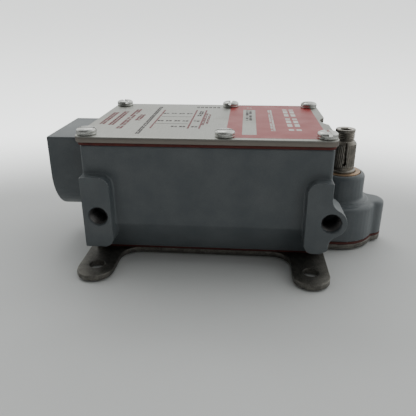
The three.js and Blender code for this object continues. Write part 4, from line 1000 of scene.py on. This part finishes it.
def makeShaftBody():
    size = leverShaft
    rows, angles = shaftRows(), shaftAngles()
    work = bmesh.new()
    rings = []
    for z, radius in rows:
        ring = []
        for angle in angles:
            r = radius
            if z < 12.0:
                r = min(r, size["flatHalf"] / max(1e-6, abs(math.sin(angle))))
            away = abs(math.remainder(angle + math.pi / 2, 2 * math.pi)) * size["seat"]
            half = size["slotFootWidth"] / 2 if z < size["slotStep"] else size["slotWidth"] / 2
            if size["slotLow"] < z < size["slotHigh"] and away < half:
                r = min(r, size["seat"] - size["slotDepth"])
            ring.append(work.verts.new((shaftX + r * mm * math.cos(angle), r * mm * math.sin(angle), z * mm)))
        rings.append(ring)
    # the socket: a chamfered mouth, six flats and a drilled floor
    top = rows[-1][0]
    flat = size["socketAcross"] / 2
    floor = top - size["socketDepth"]
    for z, grow in ((top - 0.05, 0.75), (top - 0.5, 0.0), (floor, 0.0)):
        ring = []
        for angle in angles:
            turn = math.remainder(angle + math.pi / 6, math.pi / 3)
            r = flat / math.cos(turn)
            r = r + (4.0 - r) * grow
            ring.append(work.verts.new((shaftX + r * mm * math.cos(angle), r * mm * math.sin(angle), z * mm)))
        rings.append(ring)
    count = len(angles)
    for lower, upper in zip(rings, rings[1:]):
        for i in range(count):
            j = (i + 1) % count
            work.faces.new((lower[i], lower[j], upper[j], upper[i]))
    for ring, z in ((rings[0], rows[0][0]), (rings[-1], floor - 1.2)):
        middle = work.verts.new((shaftX, 0, z * mm))
        for i in range(count):
            work.faces.new((ring[i], ring[(i + 1) % count], middle))
    bmesh.ops.recalc_face_normals(work, faces=work.faces)
    return meshFrom("leverShaftBody", work)


def cutTree():
    # rolls a slanting knurl and cuts a thread into a turned body, by moving its surface in and out
    tree, given = newTree(
        "knurlAndThread", AxisX=0.0, Teeth=38, Depth=0.3 * mm, Lead=14.0, KnurlLow=0.0, KnurlHigh=1.0,
        SeatRadius=6.0 * mm, ThreadLow=0.0, ThreadHigh=1.0, Pitch=1.27 * mm, ThreadDepth=0.6 * mm, Metal=None)
    x, y, z = apart(tree)
    across = calc(tree, "SUBTRACT", x, given["AxisX"])
    angle = calc(tree, "ARCTAN2", y, across)
    radius = fromAxis(tree, across, y)

    def ramp(low, high, start, end):
        return step(tree, "ShaderNodeMapRange", {0: z, 1: low, 2: high, 3: start, 4: end})[0]

    def between(low, high, soft):
        # 1 well inside the two heights, 0 outside, with a short run-out at each end
        rise = ramp(low, calc(tree, "ADD", low, soft), 0.0, 1.0)
        fall = ramp(calc(tree, "SUBTRACT", high, soft), high, 1.0, 0.0)
        return product(tree, rise, fall)

    def wave(phase):
        # 0 to 1 and back for each whole step of the phase
        return calc(tree, "PINGPONG", product(tree, phase, 2.0), 1.0)

    slope = calc(tree, "TANGENT", calc(tree, "RADIANS", given["Lead"]))
    slant = calc(tree, "DIVIDE", product(tree, z, slope), given["SeatRadius"])
    turned = calc(tree, "DIVIDE", calc(tree, "ADD", angle, slant), 2 * math.pi)
    onSeat = greater(tree, radius, product(tree, given["SeatRadius"], 0.93))
    seatZone = product(tree, between(given["KnurlLow"], given["KnurlHigh"], 0.5 * mm), onSeat)
    knurl = product(tree, wave(product(tree, turned, given["Teeth"])), given["Depth"], seatZone)
    turns = calc(tree, "DIVIDE", angle, 2 * math.pi)
    threadPhase = calc(tree, "ADD", calc(tree, "DIVIDE", z, given["Pitch"]), turns)
    onThread = greater(tree, radius, 4.4 * mm)
    threadZone = product(tree, between(given["ThreadLow"], given["ThreadHigh"], 0.3 * mm), onThread)
    # the thread's crests stand out about as far as its roots go in, so the blank is the middle of both
    crest = calc(tree, "SUBTRACT", wave(threadPhase), 0.52)
    outward = calc(tree, "SUBTRACT", product(tree, crest, given["ThreadDepth"], threadZone), knurl)
    unit = step(tree, "ShaderNodeVectorMath", {0: together(tree, across, y, 0.0)}, operation="NORMALIZE")[0]
    offset = step(tree, "ShaderNodeVectorMath", {0: unit, 3: outward}, operation="SCALE")[0]
    shaped = step(tree, "GeometryNodeSetPosition", {0: given["Geometry"], 3: offset})[0]
    return finishTree(tree, shaped, given["Metal"])


def makeShaft():
    size = leverShaft
    mesh = runTree(
        "leverShaft", cutTree(), makeShaftBody(), AxisX=shaftX, Teeth=size["teeth"],
        Depth=size["toothDepth"] * mm, Lead=size["lead"], KnurlLow=size["knurlLow"] * mm,
        KnurlHigh=size["knurlHigh"] * mm, SeatRadius=size["seat"] * mm, ThreadLow=size["threadLow"] * mm,
        ThreadHigh=size["threadHigh"] * mm, Pitch=size["threadPitch"] * mm,
        ThreadDepth=size["threadDepth"] * mm, Metal=shaftSteel)
    smoothed(mesh, 40)
    markEdges(mesh, 0)
    ridesWith(addObject("leverShaft", mesh), "lever_shaft", ["lever_shaft"])


bushing = dict(bore=7.25 * mm, bevel=0.35 * mm)


def makeBushing():
    low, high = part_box("shaft_bushing")
    outer, inner, top, bevel = (high.x - low.x) / 2, bushing["bore"], high.z, bushing["bevel"]
    profile = [
        (inner, low.z), (outer, low.z), (outer, top - bevel), (outer - 0.3 * bevel, top - 0.3 * bevel),
        (outer - bevel, top), (inner + bevel, top), (inner + 0.3 * bevel, top - 0.3 * bevel),
        (inner, top - bevel),
    ]
    mesh = turnedMesh("bronzeBushing", profile, (shaftX, 0), 96)
    smoothed(mesh, 50)
    ridesWith(addObject("bronzeBushing", mesh, bronze), "housing", ["shaft_bushing"])


makeShaft()
makeBushing()
print("shaft and bushing turned")


# pieces inside that keep the frame's shape
insideFinishes = {
    "base_plate_screw": plateScrewSteel, "shaft_seal": blackRubber, "thrust_washer": bronze,
    "drive_cam": camSteel, "cam_retaining_ring": springSteel, "cam_drive_pin": pinSteel,
    "spring_anchor_pin": pinSteel, "return_spring": springSteel, "push_slide": ivoryPlastic,
    "slide_guide": pinSteel, "contact_block": phenolic, "contact_carrier": ivoryPlastic,
    "contact_bridge": silver, "bridge_spring": springSteel, "fixed_contact": brass,
}


def finishInside():
    for name, piece in nodes.items():
        if piece.hide_render:
            continue
        starts = [start for start in insideFinishes if name.startswith(start)]
        piece.data.materials.clear()
        piece.data.materials.append(insideFinishes[max(starts, key=len)])


finishInside()
print("inside pieces finished")


# floor, light and camera
# light comes mostly from behind and above, and the camera's side of the room is dim
studio = dict(
    floorSize=3.0, floorFadeStart=0.30, floorFadeEnd=0.52, floorCentre=(0, -0.24, 0), floorGap=0.8 * mm,
    front=0.145, back=1.20, fromHead=0.5, below=0.30, backdropLow=2.9, backdropHigh=1.5,
    softboxPlace=(-0.12, 0.42, 0.55), softboxAim=(0, 0, 0.05), softboxLong=0.30, softboxWide=0.12,
    softboxPower=0.45,
)
viewpoint = dict(
    place=(19.0 * mm, -240.7 * mm, 115.0 * mm), down=22.83, towardsHub=4.74, tilt=0.14, lens=39.93,
)


def floorMaterial():
    # a pale sheet that fades into the bright room with distance
    size = studio
    material, tree, shader = newMaterial("paleFloor", (0.74, 0.745, 0.74), 0.0, 0.6)
    mottle = clouds(tree, place(tree), 60 * mm, 3)
    tree.links.new(tint(tree, mottle, (0.71, 0.715, 0.71), (0.77, 0.775, 0.77)), shader.inputs["Base Color"])
    x, y, z = size["floorCentre"]
    length = tree.nodes.new("ShaderNodeVectorMath")
    length.operation = "LENGTH"
    tree.links.new(place(tree, shift=(-x, -y, -z)), length.inputs[0])
    shown = spread(tree, length.outputs["Value"], size["floorFadeStart"], size["floorFadeEnd"], 1, 0, True)
    tree.links.new(shown, shader.inputs["Alpha"])
    return material


def makeRoom():
    size = studio
    world = bpy.data.worlds.new("paleRoom")
    bpy.context.scene.world = world
    world.use_nodes = True
    tree = world.node_tree
    background = tree.nodes["Background"]
    towards = tree.nodes.new("ShaderNodeTexCoord")
    split = tree.nodes.new("ShaderNodeSeparateXYZ")
    tree.links.new(towards.outputs["Generated"], split.inputs["Vector"])
    headwards, behind, above = split.outputs
    lit = spread(tree, behind, -0.42, 0.50, size["front"], size["back"], True)
    lit = sums(tree, "ADD", lit, spread(tree, headwards, 0.1, 0.9, 0, size["fromHead"], True))
    lit = spread(tree, above, -0.12, 0.05, size["below"], lit, True)
    seen = spread(tree, above, -0.30, 0.05, size["backdropLow"], size["backdropHigh"], True)
    path = tree.nodes.new("ShaderNodeLightPath")
    strength = tree.nodes.new("ShaderNodeMix")
    tree.links.new(path.outputs["Is Camera Ray"], strength.inputs["Factor"])
    tree.links.new(lit, strength.inputs["A"])
    tree.links.new(seen, strength.inputs["B"])
    background.inputs["Color"].default_value = (0.975, 1.0, 0.985, 1)
    tree.links.new(strength.outputs["Result"], background.inputs["Strength"])


def makeStudio():
    size = studio
    half = size["floorSize"] / 2
    mesh = bpy.data.meshes.new("floor")
    corners = [(-half, -half), (half, -half), (half, half), (-half, half)]
    mesh.from_pydata([(x, y, -size["floorGap"]) for x, y in corners], [], [(0, 1, 2, 3)])
    addObject("floor", mesh, floorMaterial())
    makeRoom()
    light = bpy.data.lights.new("softbox", "AREA")
    light.shape = "RECTANGLE"
    light.size, light.size_y = size["softboxLong"], size["softboxWide"]
    light.energy = size["softboxPower"]
    lamp = bpy.data.objects.new("softbox", light)
    bpy.context.scene.collection.objects.link(lamp)
    lamp.location = size["softboxPlace"]
    lamp.rotation_euler = (Vector(size["softboxAim"]) - lamp.location).to_track_quat("-Z", "Y").to_euler()


def makeCamera():
    size = viewpoint
    camera = bpy.data.cameras.new("camera")
    camera.lens = size["lens"]
    camera.clip_start, camera.clip_end = 0.01, 20
    holder = bpy.data.objects.new("camera", camera)
    bpy.context.scene.collection.objects.link(holder)
    holder.location = size["place"]
    holder.rotation_euler = (
        math.radians(90 - size["down"]), math.radians(size["tilt"]), math.radians(size["towardsHub"]))
    bpy.context.scene.camera = holder


makeStudio()
makeCamera()
